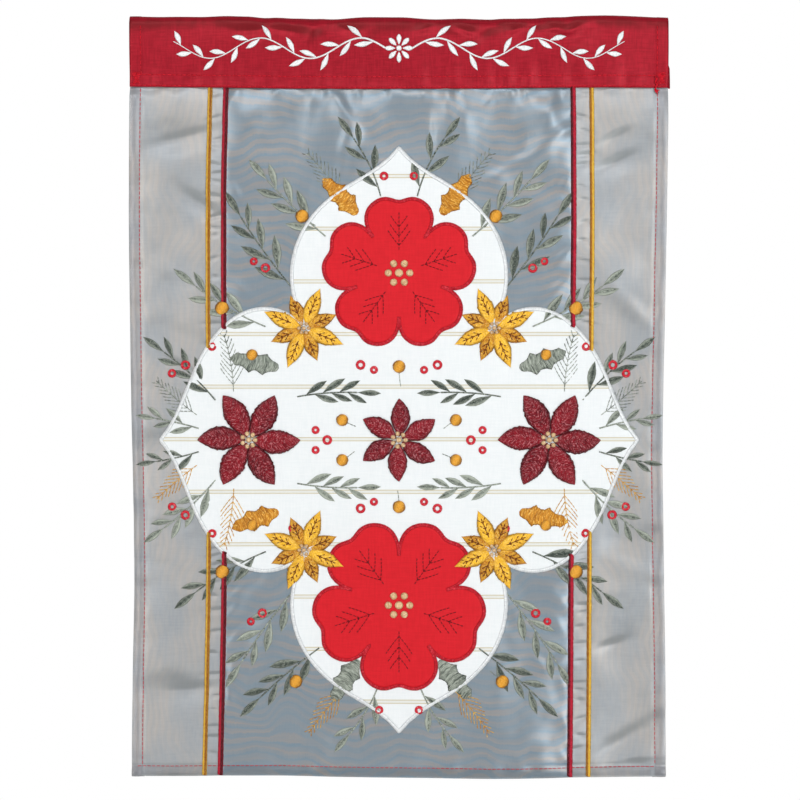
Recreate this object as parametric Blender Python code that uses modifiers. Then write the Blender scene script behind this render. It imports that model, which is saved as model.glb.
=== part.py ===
# Garden flag with a pole sleeve: three panels of satin cloth, a folded sleeve sewn along their top
# edge, a white applied medallion and two red applied rosettes.
#
# The cloth hangs from its sleeve. The origin is the middle of the sleeve's top edge, +X is to the
# viewer's right, +Y away from the viewer and +Z up. All sizes are in metres.
import math

import bmesh
import bpy
import numpy as np

FLAG_HEIGHT = 0.457
SHEET = 0.0010  # thickness of one layer of cloth
HEM = 0.0018  # thickness where a hem doubles the cloth
HEM_WIDTH = 0.0055  # turned-back width at the sides
FOOT_HEM_WIDTH = 0.0070  # turned-back width at the foot and inside the sleeve's seam
GAP = 0.0003  # between two pieces that lie against each other

SLEEVE_DROP = 0.0436  # from the top edge to the sleeve's lower edge
TUCK = 0.0052  # how far the panels reach up between the sleeve's two walls
FADE = 0.016  # below the sleeve, where the cloth starts to leave the plane of its seam
STEP = 0.0006  # over which a hem's doubling ends

# The side edges and the two panel seams, from the top edge to the foot.
OUTLINE_COLUMNS = ("z", "left_edge", "left_seam", "right_seam", "right_edge")
OUTLINE = (
    (-0.457, -0.1604, -0.1075, 0.1026, 0.1604),
    (-0.400, -0.1600, -0.1062, 0.1031, 0.1600),
    (-0.330, -0.1590, -0.1048, 0.1032, 0.1588),
    (-0.255, -0.1602, -0.1046, 0.1038, 0.1578),
    (-0.180, -0.1614, -0.1050, 0.1042, 0.1590),
    (-0.110, -0.1620, -0.1050, 0.1047, 0.1606),
    (-0.043, -0.1614, -0.1038, 0.1044, 0.1614),
    (0.000, -0.1614, -0.1038, 0.1044, 0.1614),
)

# The sleeve's top edge, its lower edge and the panels' foot are not quite straight: each row says
# how far the three lines lie below their nominal height at that place.
SAG_COLUMNS = ("x", "top", "lower", "foot")
SAG = (
    (-0.1614, 0.0012, -0.0004, -0.0004),
    (-0.1200, 0.0004, 0.0000, -0.0002),
    (-0.0750, 0.0018, 0.0006, 0.0000),
    (-0.0300, 0.0017, 0.0009, 0.0006),
    (0.0100, 0.0015, 0.0008, 0.0009),
    (0.0520, 0.0022, 0.0006, 0.0015),
    (0.0900, 0.0009, 0.0002, 0.0012),
    (0.1250, 0.0000, 0.0001, 0.0008),
    (0.1614, 0.0010, 0.0002, 0.0003),
)

# The soft folds of the hanging cloth. Angle is that of the fold's run above the horizontal, reach
# and half_width are where it dies out along and across its run, and rise is towards the viewer.
FOLD_COLUMNS = ("x", "z", "angle", "reach", "half_width", "rise")
FOLDS = (
    (-0.136, -0.072, 5, 0.026, 0.0090, -0.0014),
    (-0.124, -0.112, -35, 0.022, 0.0085, -0.0012),
    (-0.134, -0.193, -20, 0.028, 0.0085, -0.0013),
    (-0.134, -0.256, 15, 0.024, 0.0100, -0.0011),
    (-0.146, -0.303, 0, 0.022, 0.0090, -0.0012),
    (-0.128, -0.404, 3, 0.030, 0.0095, -0.0017),
    (-0.092, -0.070, 62, 0.026, 0.0100, 0.0012),
    (-0.049, -0.076, 80, 0.032, 0.0110, 0.0013),
    (0.037, -0.078, 76, 0.034, 0.0120, 0.0015),
    (0.092, -0.074, 112, 0.030, 0.0110, 0.0014),
    (0.088, -0.190, 84, 0.070, 0.0120, 0.0012),
    (-0.084, -0.380, 48, 0.036, 0.0110, 0.0012),
    (0.084, -0.428, 88, 0.034, 0.0120, 0.0014),
    (0.128, -0.086, 15, 0.026, 0.0095, -0.0011),
    (0.131, -0.160, -42, 0.034, 0.0110, 0.0014),
    (0.131, -0.318, -10, 0.028, 0.0095, -0.0010),
    (0.130, -0.379, 22, 0.026, 0.0095, -0.0009),
    (0.136, -0.437, 28, 0.036, 0.0095, -0.0018),
)

# Long slow waves over the whole cloth, deepest at the foot, and the curl of the free side edges.
WAVE_LENGTH = 0.190
WAVE_RISE = 0.0016
WAVE_SHIFT = 0.035
BOW_RISE = 0.0018
CURL_REACH = 0.014
CURL_LEFT = -0.0026
CURL_RIGHT = 0.0024

# The inside of the sleeve, from its lower edge up: the front and back walls' places in Y.
POCKET_COLUMNS = ("z", "front", "back")
POCKET = (
    (-0.0436, -0.0003, 0.0021),
    (-0.0384, -0.0003, 0.0021),
    (-0.0340, -0.0009, 0.0028),
    (-0.0270, -0.0021, 0.0043),
    (-0.0190, -0.0030, 0.0056),
    (-0.0120, -0.0032, 0.0060),
    (-0.0056, -0.0032, 0.0060),
)
POCKET_STEPS = 8
POCKET_ARC_STEPS = 8
DIMPLE = 0.45  # how much of the top edge's sag also presses the front wall back

# Columns and rows of the cloth's lattice, which all the layers share so that they nest.
SIDE_COLUMNS = 5
CENTRE_COLUMNS = 19
ROWS = 39
SLEEVE_COLUMNS = 22

# The applied pieces' outlines: petals or lobes around a centre. Waist is the radius between two
# lobes as a share of the whole, roundness shapes their shoulders, and tip is a point (above 0) or
# a dip (below 0) at the middle of each lobe's end, as wide as tip_width in lobes.
MEDALLION = {
    "x": 0.000,
    "z": -0.255,
    "half_width": 0.143,
    "half_height": 0.175,
    "lobes": 4,
    "turn": 0.0,
    "waist": 0.60,
    "roundness": 2.5,
    "tip": 0.105,
    "tip_width": 0.13,
    "points_in_a_lobe": 32,
}
ROSETTE = {
    "lobes": 5,
    "waist": 0.57,
    "roundness": 3.2,
    "tip": -0.070,
    "tip_width": 0.22,
    "points_in_a_lobe": 18,
}
ROSETTES = {
    "rosette_upper": {"x": 0.000, "z": -0.155, "half_width": 0.046, "half_height": 0.046, "turn": 90.0},
    "rosette_lower": {"x": 0.000, "z": -0.354, "half_width": 0.052, "half_height": 0.052, "turn": -90.0},
}
CUTTER_DEPTH = 0.060

COLOURS = {  # base colour and roughness
    "centre_satin": ((0.32, 0.36, 0.39, 1.0), 0.35),
    "side_satin": ((0.47, 0.49, 0.50, 1.0), 0.40),
    "sleeve_satin": ((0.43, 0.012, 0.030, 1.0), 0.42),
    "medallion_cloth": ((0.86, 0.87, 0.87, 1.0), 0.60),
    "rosette_cloth": ((0.72, 0.012, 0.025, 1.0), 0.55),
}


def clear_scene():
    for old in list(bpy.data.objects):
        bpy.data.objects.remove(old, do_unlink=True)


def collection(name):
    made = bpy.data.collections.new(name)
    bpy.context.scene.collection.children.link(made)
    return made


def material(name):
    colour, roughness = COLOURS[name]
    made = bpy.data.materials.new(name)
    made.use_nodes = True
    shader = made.node_tree.nodes["Principled BSDF"]
    shader.inputs["Base Color"].default_value = colour
    shader.inputs["Roughness"].default_value = roughness
    shader.inputs["Metallic"].default_value = 0.0
    return made


def read(rows, columns, name, at):
    """A table's column at a place along the first column, on a smooth curve through the rows."""
    key = [row[0] for row in rows]
    value = [row[columns.index(name)] for row in rows]
    last = len(key) - 1
    at = min(max(at, key[0]), key[last])
    i = min(max(int(np.searchsorted(key, at)) - 1, 0), last - 1)
    slope = []
    for k in (i, i + 1):
        before, after = max(k - 1, 0), min(k + 1, last)
        slope.append((value[after] - value[before]) / (key[after] - key[before]))
    step = key[i + 1] - key[i]
    t = (at - key[i]) / step
    return (
        (2 * t**3 - 3 * t**2 + 1) * value[i]
        + (t**3 - 2 * t**2 + t) * step * slope[0]
        + (3 * t**2 - 2 * t**3) * value[i + 1]
        + (t**3 - t**2) * step * slope[1]
    )


def edge(name, z):
    return read(OUTLINE, OUTLINE_COLUMNS, name, z)


def sag(name, x):
    return read(SAG, SAG_COLUMNS, name, x)


def rise(x, z):
    """How far the hanging cloth stands towards the viewer: folds, slow waves and curled edges."""
    total = 0.0
    for fold_x, fold_z, angle, reach, half_width, height in FOLDS:
        run = math.radians(angle)
        along = (x - fold_x) * math.cos(run) + (z - fold_z) * math.sin(run)
        across = (z - fold_z) * math.cos(run) - (x - fold_x) * math.sin(run)
        total += height * math.exp(-((along / reach) ** 2) - (across / half_width) ** 2)
    down = min(max((-z - SLEEVE_DROP) / (FLAG_HEIGHT - SLEEVE_DROP), 0.0), 1.0)
    total += WAVE_RISE * down * math.cos(2 * math.pi * (x - WAVE_SHIFT) / WAVE_LENGTH)
    total += BOW_RISE * math.sin(1.5 * math.pi * down)
    curl = math.sin(math.pi * down)
    total += CURL_LEFT * curl * math.exp(-(x - edge("left_edge", z)) / CURL_REACH)
    total += CURL_RIGHT * curl * math.exp(-(edge("right_edge", z) - x) / CURL_REACH)
    fade = min(max((-z - SLEEVE_DROP) / FADE, 0.0), 1.0)
    return total * fade * fade * (3 - 2 * fade)


def lattice(name, columns, rows, place):
    """A triangulated grid whose corner (column, row) lies at place(column, row), facing the viewer."""
    bm = bmesh.new()
    bmesh.ops.create_grid(bm, x_segments=columns, y_segments=rows, size=0.5)
    for vert in bm.verts:
        column = round((vert.co.x + 0.5) * columns)
        row = round((vert.co.y + 0.5) * rows)
        vert.co = place(column, row)
    bmesh.ops.triangulate(bm, faces=bm.faces, quad_method="FIXED")
    mesh = bpy.data.meshes.new(name)
    bm.to_mesh(mesh)
    bm.free()
    return mesh


def thicken(made, thickness, towards_viewer, group="", plain_share=1.0):
    solid = made.modifiers.new("Thickness", "SOLIDIFY")
    solid.thickness = thickness
    solid.offset = 1.0 if towards_viewer else -1.0
    solid.use_even_offset = False
    solid.vertex_group = group
    solid.thickness_vertex_group = plain_share


def row_heights():
    """The lattice's rows as shares of the panels' height from the foot up, with one at each hem."""
    length = FLAG_HEIGHT - SLEEVE_DROP + TUCK
    hem = FOOT_HEM_WIDTH / length
    step = STEP / length
    inner = np.linspace(hem + step, 1 - hem - step, ROWS)
    return [0.0, hem, *inner, 1 - hem, 1.0]


def side_columns():
    """The lattice's columns in a side panel as shares of its width from its free edge in."""
    width = edge("right_edge", MEDALLION["z"]) - edge("right_seam", MEDALLION["z"])
    hem = HEM_WIDTH / width
    return [0.0, hem, *np.linspace(hem + STEP / width, 1.0, SIDE_COLUMNS + 1)]


def column_lines(region):
    """The lattice's columns across a region, each as the two lines that it lies between and its
    share of the way from the first to the second."""
    left = [("left_edge", "left_seam", share) for share in side_columns()]
    centre = [
        ("left_seam", "right_seam", share) for share in np.linspace(0.0, 1.0, CENTRE_COLUMNS + 1)
    ]
    right = [("right_seam", "right_edge", 1 - share) for share in reversed(side_columns())]
    whole = left + centre[1:] + right[1:]
    return {"left": left, "centre": centre, "right": right, "whole": whole}[region]


def cloth_lattice(name, region, lift=0.0, inset_left=0.0, inset_right=0.0):
    """The hanging cloth's lattice over a region, raised towards the viewer by lift."""
    lines = column_lines(region)
    heights = row_heights()
    top = -SLEEVE_DROP + TUCK

    def place(column, row):
        first, second, share = lines[column]
        up = heights[row]
        z = -FLAG_HEIGHT + up * (top + FLAG_HEIGHT)
        left = edge(first, z) + inset_left
        right = edge(second, z) - inset_right
        x = left + share * (right - left)
        z -= sag("foot", x) * (1 - up)
        return x, -rise(x, z) - lift, z

    return lattice(name, len(lines) - 1, len(heights) - 1, place)


def panel(name, region, group, look):
    """One panel of the flag, doubled at the back by its hems and by its top edge's turn-in."""
    inset_left = 0.0 if region == "left" else GAP / 2
    inset_right = 0.0 if region == "right" else GAP / 2
    mesh = cloth_lattice(name, region, 0.0, inset_left, inset_right)
    made = bpy.data.objects.new(name, mesh)
    group.objects.link(made)
    slack = STEP / 3

    def in_hem(point):
        from_foot = point.z + FLAG_HEIGHT + sag("foot", point.x)
        from_top = -SLEEVE_DROP + TUCK - point.z
        from_left = point.x - edge("left_edge", point.z)
        from_right = edge("right_edge", point.z) - point.x
        return (
            min(from_foot, from_top) < FOOT_HEM_WIDTH + slack
            or min(from_left, from_right) < HEM_WIDTH + slack
        )

    hems = made.vertex_groups.new(name="hems")
    hems.add([v.index for v in mesh.vertices if in_hem(v.co)], 1.0, "REPLACE")
    thicken(made, HEM, False, group=hems.name, plain_share=SHEET / HEM)
    mesh.materials.append(look)
    return made


def pocket_profile():
    """The sleeve's inner line as (y, z), from its front lower edge over the top to its back one."""
    top = POCKET[-1]
    steps = np.linspace(POCKET[0][0], top[0], POCKET_STEPS + 1)
    front = [(read(POCKET, POCKET_COLUMNS, "front", z), z) for z in steps]
    back = [(read(POCKET, POCKET_COLUMNS, "back", z), z) for z in reversed(steps)]
    middle, radius = (top[2] + top[1]) / 2, (top[2] - top[1]) / 2
    turns = np.linspace(math.pi, 0.0, POCKET_ARC_STEPS + 1)[1:-1]
    arc = [(middle + radius * math.cos(turn), top[0] + radius * math.sin(turn)) for turn in turns]
    return front + arc + back


def sleeve(group, look):
    """The folded sleeve: one sheet from its front lower edge over the top to its back one."""
    profile = pocket_profile()
    left, right = edge("left_edge", 0.0), edge("right_edge", 0.0)

    def place(column, row):
        y, z = profile[row]
        x = left + (right - left) * column / SLEEVE_COLUMNS
        up = min(max((z - POCKET[1][0]) / (POCKET[-1][0] - POCKET[1][0]), 0.0), 1.0)
        if row < len(profile) / 2:
            y += DIMPLE * sag("top", x) * up
        return x, y, z - sag("top", x) * up - sag("lower", x) * (1 - up)

    mesh = lattice("sleeve", SLEEVE_COLUMNS, len(profile) - 1, place)
    made = bpy.data.objects.new("sleeve", mesh)
    group.objects.link(made)
    thicken(made, SHEET, True)
    mesh.materials.append(look)
    return made


def lobed_outline(shape):
    """A lobed outline as (x, z) about its centre.

    With s the place across a lobe from -1 to 1, the radius is waist + (1 - waist) * (1 - |s| to
    the roundness) to the power 0.5, plus the tip's bump at s = 0. The points crowd towards the
    notches, where the outline turns fastest."""
    points = []
    half_lobe = math.pi / shape["lobes"]
    steps = shape["points_in_a_lobe"]
    for lobe in range(shape["lobes"]):
        for step in range(steps):
            s = math.sin(math.pi * (step / steps - 0.5))
            shoulder = math.sqrt(1 - abs(s) ** shape["roundness"])
            radius = shape["waist"] + (1 - shape["waist"]) * shoulder
            if shape["tip"] > 0:
                radius += shape["tip"] * (math.exp(-abs(s) / shape["tip_width"]) - 1)
            else:
                radius += shape["tip"] * math.exp(-((s / shape["tip_width"]) ** 2))
            angle = math.radians(shape["turn"]) + half_lobe * (2 * lobe + s)
            across = shape["half_width"] * radius * math.cos(angle)
            points.append((across, shape["half_height"] * radius * math.sin(angle)))
    return points


def outline_cutter(name, group, shape):
    """A prism of the outline, standing across the cloth."""
    outline = lobed_outline(shape)
    curve = bpy.data.curves.new(name, "CURVE")
    curve.dimensions = "2D"
    curve.fill_mode = "BOTH"
    curve.extrude = CUTTER_DEPTH / 2
    spline = curve.splines.new("POLY")
    spline.points.add(len(outline) - 1)
    for point, (across, up) in zip(spline.points, outline):
        point.co = (across, up, 0.0, 1.0)
    spline.use_cyclic_u = True
    drawn = bpy.data.objects.new(name + "_line", curve)
    drawn.location = (shape["x"], 0.0, shape["z"])
    drawn.rotation_euler = (math.pi / 2, 0.0, 0.0)
    group.objects.link(drawn)
    bpy.context.view_layer.update()
    evaluated = drawn.evaluated_get(bpy.context.evaluated_depsgraph_get())
    mesh = bpy.data.meshes.new_from_object(evaluated)
    bm = bmesh.new()
    bm.from_mesh(mesh)
    bmesh.ops.remove_doubles(bm, verts=bm.verts, dist=0.00001)
    bmesh.ops.recalc_face_normals(bm, faces=bm.faces)
    bm.to_mesh(mesh)
    bm.free()
    cutter = bpy.data.objects.new(name, mesh)
    cutter.matrix_world = drawn.matrix_world
    group.objects.link(cutter)
    bpy.data.objects.remove(drawn, do_unlink=True)
    cutter.hide_render = True
    cutter.display_type = "WIRE"
    return cutter


def applied_piece(name, shape, layer, group, cutters, look):
    """A cut piece of cloth sewn flat on the cloth below: the lattice, raised, inside its outline."""
    lift = layer * (SHEET + GAP) - SHEET
    mesh = cloth_lattice(name, "whole", lift)
    made = bpy.data.objects.new(name, mesh)
    group.objects.link(made)
    thicken(made, SHEET, True)
    cut = made.modifiers.new("Outline", "BOOLEAN")
    cut.operation = "INTERSECT"
    cut.solver = "EXACT"
    cut.object = outline_cutter(name + "_cutter", cutters, shape)
    mesh.materials.append(look)
    return made


def main():
    clear_scene()
    parts = collection("garden_flag")
    cutters = collection("cutters")
    looks = {name: material(name) for name in COLOURS}
    panel("panel_left", "left", parts, looks["side_satin"])
    panel("panel_centre", "centre", parts, looks["centre_satin"])
    panel("panel_right", "right", parts, looks["side_satin"])
    sleeve(parts, looks["sleeve_satin"])
    applied_piece("medallion", MEDALLION, 1, parts, cutters, looks["medallion_cloth"])
    for name, place in ROSETTES.items():
        applied_piece(name, ROSETTE | place, 2, parts, cutters, looks["rosette_cloth"])


main()
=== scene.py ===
# Garden flag, hung by its sleeve: satin panels, applied cloth pieces, satin stitch and embroidery.
# X runs to the viewer's right, Y away from the viewer and Z up, in metres. A "rise" is how far a
# surface stands from the plane Y = 0 towards the viewer.
import math

import bpy
import numpy as np
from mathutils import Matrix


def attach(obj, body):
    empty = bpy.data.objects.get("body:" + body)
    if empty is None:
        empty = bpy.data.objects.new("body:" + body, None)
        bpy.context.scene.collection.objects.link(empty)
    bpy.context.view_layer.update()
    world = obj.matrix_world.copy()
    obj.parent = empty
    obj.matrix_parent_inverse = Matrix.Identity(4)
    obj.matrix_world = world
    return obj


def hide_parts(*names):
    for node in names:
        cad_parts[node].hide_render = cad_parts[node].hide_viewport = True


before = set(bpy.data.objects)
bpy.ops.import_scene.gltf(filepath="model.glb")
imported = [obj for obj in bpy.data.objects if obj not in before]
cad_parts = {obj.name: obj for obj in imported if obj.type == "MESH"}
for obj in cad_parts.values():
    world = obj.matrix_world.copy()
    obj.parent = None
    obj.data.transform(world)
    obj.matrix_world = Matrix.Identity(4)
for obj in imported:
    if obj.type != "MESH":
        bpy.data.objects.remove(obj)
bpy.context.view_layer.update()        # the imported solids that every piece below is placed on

mm = 0.001
materials = {}


def addObject(name, data):
    made = bpy.data.objects.new(name, data)
    bpy.context.collection.objects.link(made)
    return made


# The view, the floor and the light
studio = {
    "lens": 100.0,  # millimetres
    "sensor": 36.0,
    "frameWidth": 0.480,  # what the square picture spans at the flag
    "aim": (0.0006, 0.0, -0.231),
    "floorLevel": -0.80,
    "floorSize": 2.4,
    "ambient": 0.25,  # how strongly the world lights the flag; the camera sees it white
}
softboxes = {  # name: place, width and height, power, tint
    "left": ((-0.82, -1.20, -0.08), (0.32, 1.30), 7.4, (1.0, 0.97, 0.93)),
    "right": ((0.78, -1.22, -0.38), (0.34, 1.60), 13.4, (0.98, 0.99, 0.98)),
    "top": ((-0.05, -1.05, 0.69), (0.90, 0.44), 5.3, (1.0, 1.0, 1.0)),
    "back": ((0.3, 1.40, 0.30), (1.20, 0.80), 12.0, (1.0, 1.0, 1.0)),
}


def aimAt(thing, target):
    across, away, up = np.array(target) - np.array(thing.location)
    thing.rotation_euler = (math.atan2(math.hypot(across, away), -up), 0.0, -math.atan2(across, away))


def makeStudio():
    camera = addObject("camera", bpy.data.cameras.new("camera"))
    camera.data.lens = studio["lens"]
    camera.data.sensor_width = studio["sensor"]
    aim = studio["aim"]
    camera.location = (aim[0], -studio["frameWidth"] * studio["lens"] / studio["sensor"], aim[2])
    aimAt(camera, aim)
    bpy.context.scene.camera = camera
    for name, (place, size, power, tint) in softboxes.items():
        light = bpy.data.lights.new("softbox_" + name, "AREA")
        light.shape = "RECTANGLE"
        light.size, light.size_y = size
        light.energy = power
        light.color = tint
        box = addObject(light.name, light)
        box.location = place
        aimAt(box, aim)
    half, level = studio["floorSize"] / 2, studio["floorLevel"]
    corners = [(x, y, level) for x, y in ((-half, -half), (half, -half), (half, half), (-half, half))]
    mesh = bpy.data.meshes.new("floor")
    mesh.from_pydata(corners, [], [(0, 1, 2, 3)])
    material, _, shader = newMaterial("floor", roughness=0.8, specular=0.2)
    shader.inputs["Base Color"].default_value = (0.86, 0.86, 0.85, 1.0)
    mesh.materials.append(material)
    addObject("floor", mesh)
    makeWorld()
    bpy.context.scene.view_settings.view_transform = "Standard"


def makeWorld():
    # White where the camera sees it, and dimmer as a light so that the satin keeps its contrast.
    world = bpy.data.worlds.new("studio")
    bpy.context.scene.world = world
    world.use_nodes = True
    tree = world.node_tree
    tree.nodes.clear()
    seen = put(tree, "ShaderNodeLightPath").outputs["Is Camera Ray"]
    strength = calc(tree, "MULTIPLY_ADD", seen, 1 - studio["ambient"], studio["ambient"])
    shade = put(tree, "ShaderNodeBackground", {"Color": (1.0, 1.0, 1.0, 1.0), "Strength": strength})
    put(tree, "ShaderNodeOutputWorld", {"Surface": shade.outputs[0]})


# Node helpers
def feed(tree, node, inputs):
    # Gives each named socket a value or another node's output.
    for socket, value in inputs.items():
        if isinstance(value, bpy.types.NodeSocket):
            tree.links.new(value, node.inputs[socket])
        else:
            node.inputs[socket].default_value = value


def put(tree, kind, inputs=None, **settings):
    made = tree.nodes.new(kind)
    for key, value in settings.items():
        setattr(made, key, value)
    feed(tree, made, inputs or {})
    return made


def calc(tree, operation, *values):
    return put(tree, "ShaderNodeMath", dict(enumerate(values)), operation=operation).outputs[0]


def blendColours(tree, factor, first, second, kind="MIX"):
    sockets = {0: factor, 6: first, 7: second}
    return put(tree, "ShaderNodeMix", sockets, data_type="RGBA", blend_type=kind).outputs[2]


def spread(tree, value, low, high):
    # A smooth step from 0 at low to 1 at high.
    sockets = {"Value": value, "From Min": low, "From Max": high}
    return put(tree, "ShaderNodeMapRange", sockets, interpolation_type="SMOOTHSTEP").outputs[0]


def split(tree, vector):
    return put(tree, "ShaderNodeSeparateXYZ", {0: vector}).outputs


def placed(tree, vector, settings):
    # The vector moved, turned or scaled.
    return put(tree, "ShaderNodeMapping", {"Vector": vector, **settings}).outputs[0]


def drawnNoise(tree, vector, stretch, scale, roughness=0.5):
    settings = {"Vector": placed(tree, vector, {"Scale": stretch}), "Scale": scale, "Detail": 2.0}
    return put(tree, "ShaderNodeTexNoise", {**settings, "Roughness": roughness}).outputs["Fac"]


def shadeOf(tree):
    return put(tree, "ShaderNodeAttribute", attribute_name="shade").outputs["Fac"]


def useGroup(tree, name, inputs):
    return put(tree, "ShaderNodeGroup", inputs, node_tree=bpy.data.node_groups[name]).outputs


def newGroup(name, inputs, outputs):
    # A node group's tree, what it is given and its output node; all but the Vector are numbers.
    tree = bpy.data.node_groups.new(name, "ShaderNodeTree")
    for way, names in (("INPUT", inputs), ("OUTPUT", outputs)):
        for socketName in names:
            kind = "NodeSocketVector" if socketName == "Vector" else "NodeSocketFloat"
            tree.interface.new_socket(name=socketName, in_out=way, socket_type=kind)
    return tree, tree.nodes.new("NodeGroupInput").outputs, tree.nodes.new("NodeGroupOutput")


def colour(screen):
    # A screen colour from 0 to 255 as the shader's linear one.
    screen = np.array(screen) / 255
    linear = np.where(screen <= 0.04045, screen / 12.92, ((screen + 0.055) / 1.055) ** 2.4)
    return (*linear.tolist(), 1.0)


def newMaterial(name, roughness, specular, metallic=0.0, sheen=0.0):
    material = bpy.data.materials.new(name)
    material.use_nodes = True
    shader = material.node_tree.nodes["Principled BSDF"]
    feed(material.node_tree, shader, {"Roughness": roughness, "Specular IOR Level": specular,
                                      "Metallic": metallic, "Sheen Weight": sheen})
    return material, material.node_tree, shader


def makeWeaveGroup():
    # Warp and weft: Height is the larger of two rows of round threads, |sin| across and along the
    # cloth, and Slub is the mean of two noises, drawn out along the warp and along the weft.
    tree, given, result = newGroup("weave", ("Vector", "Pitch", "Float"), ("Height", "Slub"))
    across, up, _ = split(tree, given["Vector"])
    rate = calc(tree, "DIVIDE", math.pi, given["Pitch"])
    warp = calc(tree, "ABSOLUTE", calc(tree, "SINE", calc(tree, "MULTIPLY", across, rate)))
    run = calc(tree, "DIVIDE", calc(tree, "MULTIPLY", up, rate), given["Float"])
    weft = calc(tree, "MULTIPLY", calc(tree, "ABSOLUTE", calc(tree, "SINE", run)), 0.8)
    slubs = []
    for stretch in ((1.0, 0.10, 1.0), (0.10, 1.0, 1.0)):
        slubs.append(calc(tree, "MULTIPLY", drawnNoise(tree, given["Vector"], stretch, 1000.0), 0.5))
    feed(tree, result, {"Height": calc(tree, "MAXIMUM", warp, weft), "Slub": calc(tree, "ADD", *slubs)})


def makeWateringGroup():
    # Watered silk: a sine of the height over the period, with a fainter one 2.7 times as fine. Its
    # phase is pushed about by noise that is drawn out along the height, so that neighbouring bands
    # bend together, and by the Shift. Patch is broad noise, which also fades the bands in and out.
    tree, given, result = newGroup("watering", ("Vector", "Period", "Drift", "Shift"), ("Band", "Patch"))
    drift = drawnNoise(tree, given["Vector"], (1.6, 0.8, 1.0), 13.0, 0.45)
    patch = spread(tree, drawnNoise(tree, given["Vector"], (1.0, 1.6, 1.0), 26.0, 0.45), 0.36, 0.64)
    phase = calc(tree, "MULTIPLY_ADD", drift, given["Drift"], given["Shift"])
    height = split(tree, given["Vector"])["Y"]
    turns = calc(tree, "ADD", calc(tree, "DIVIDE", height, given["Period"]), phase)
    coarse = calc(tree, "SINE", calc(tree, "MULTIPLY", turns, 2 * math.pi))
    fine = calc(tree, "SINE", calc(tree, "MULTIPLY", turns, 5.4 * math.pi))
    wave = calc(tree, "MULTIPLY_ADD", fine, 0.30, calc(tree, "MULTIPLY", coarse, 0.70))
    fade = calc(tree, "MULTIPLY_ADD", patch, 0.30, 0.14)
    feed(tree, result, {"Band": calc(tree, "MULTIPLY_ADD", wave, fade, 0.5), "Patch": patch})


def swirlShift(tree, vector, swirl):
    # x times the bell curve of x and y, both from the swirl's middle over its reach: it pushes the
    # bands down on the left and up on the right, by the given turns where it pushes most.
    (x, y), (reachX, reachY) = swirl["place"], swirl["reach"]
    settings = {"Location": (-x / reachX, -y / reachY, 0.0), "Scale": (1 / reachX, 1 / reachY, 1.0)}
    across, up, _ = split(tree, placed(tree, vector, settings))
    square = calc(tree, "MULTIPLY_ADD", across, across, calc(tree, "MULTIPLY", up, up))
    peak = calc(tree, "EXPONENT", calc(tree, "MULTIPLY", square, -1.0))
    return calc(tree, "MULTIPLY", calc(tree, "MULTIPLY", across, peak), -2.33 * swirl["turns"])


def makeThreadGroup():
    # Stitched thread. X of the vector is millimetres along the stitch and Y counts stitches.
    # Height is |sin| of the count times the strands, Streak is noise drawn out along the thread,
    # and Glint picks the brightest short dashes of a finer one.
    names = ("Vector", "Strands", "Shade"), ("Height", "Streak", "Glint")
    tree, given, result = newGroup("threadLay", *names)
    along, stitches, _ = split(tree, given["Vector"])
    turns = calc(tree, "MULTIPLY", calc(tree, "MULTIPLY", stitches, given["Strands"]), math.pi)
    own = calc(tree, "MULTIPLY", given["Shade"], 37.0)  # so that no two leaves streak alike
    joined = put(tree, "ShaderNodeCombineXYZ", {0: along, 1: stitches, 2: own}).outputs[0]
    feed(tree, result, {
        "Height": calc(tree, "ABSOLUTE", calc(tree, "SINE", turns)),
        "Streak": spread(tree, drawnNoise(tree, joined, (0.20, 0.45, 1.0), 1.0), 0.34, 0.66),
        "Glint": spread(tree, drawnNoise(tree, joined, (0.50, 1.00, 1.0), 1.0), 0.52, 0.66),
    })


def threadMaterial(name, dark, light, glint, glintShare):
    # The shade runs from the dark to the light colour, with streaks of 0.28 either way.
    material, tree, shader = newMaterial(name, roughness=0.42, specular=0.18, metallic=0.15, sheen=0.03)
    vector = put(tree, "ShaderNodeUVMap", uv_map="stitch").outputs[0]
    shade = shadeOf(tree)
    lay = useGroup(tree, "threadLay", {"Vector": vector, "Strands": 2.0, "Shade": shade})
    place = calc(tree, "ADD", shade, calc(tree, "MULTIPLY_ADD", lay["Streak"], 0.56, -0.28))
    tone = blendColours(tree, place, colour(dark), colour(light))
    tone = blendColours(tree, calc(tree, "MULTIPLY", lay["Glint"], glintShare), tone, colour(glint))
    height = calc(tree, "MULTIPLY_ADD", lay["Glint"], 0.8, lay["Height"])
    bump = put(tree, "ShaderNodeBump", {"Height": height, "Strength": 0.4, "Distance": 0.18 * mm})
    feed(tree, shader, {"Base Color": tone, "Normal": bump.outputs[0]})
    return material


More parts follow.
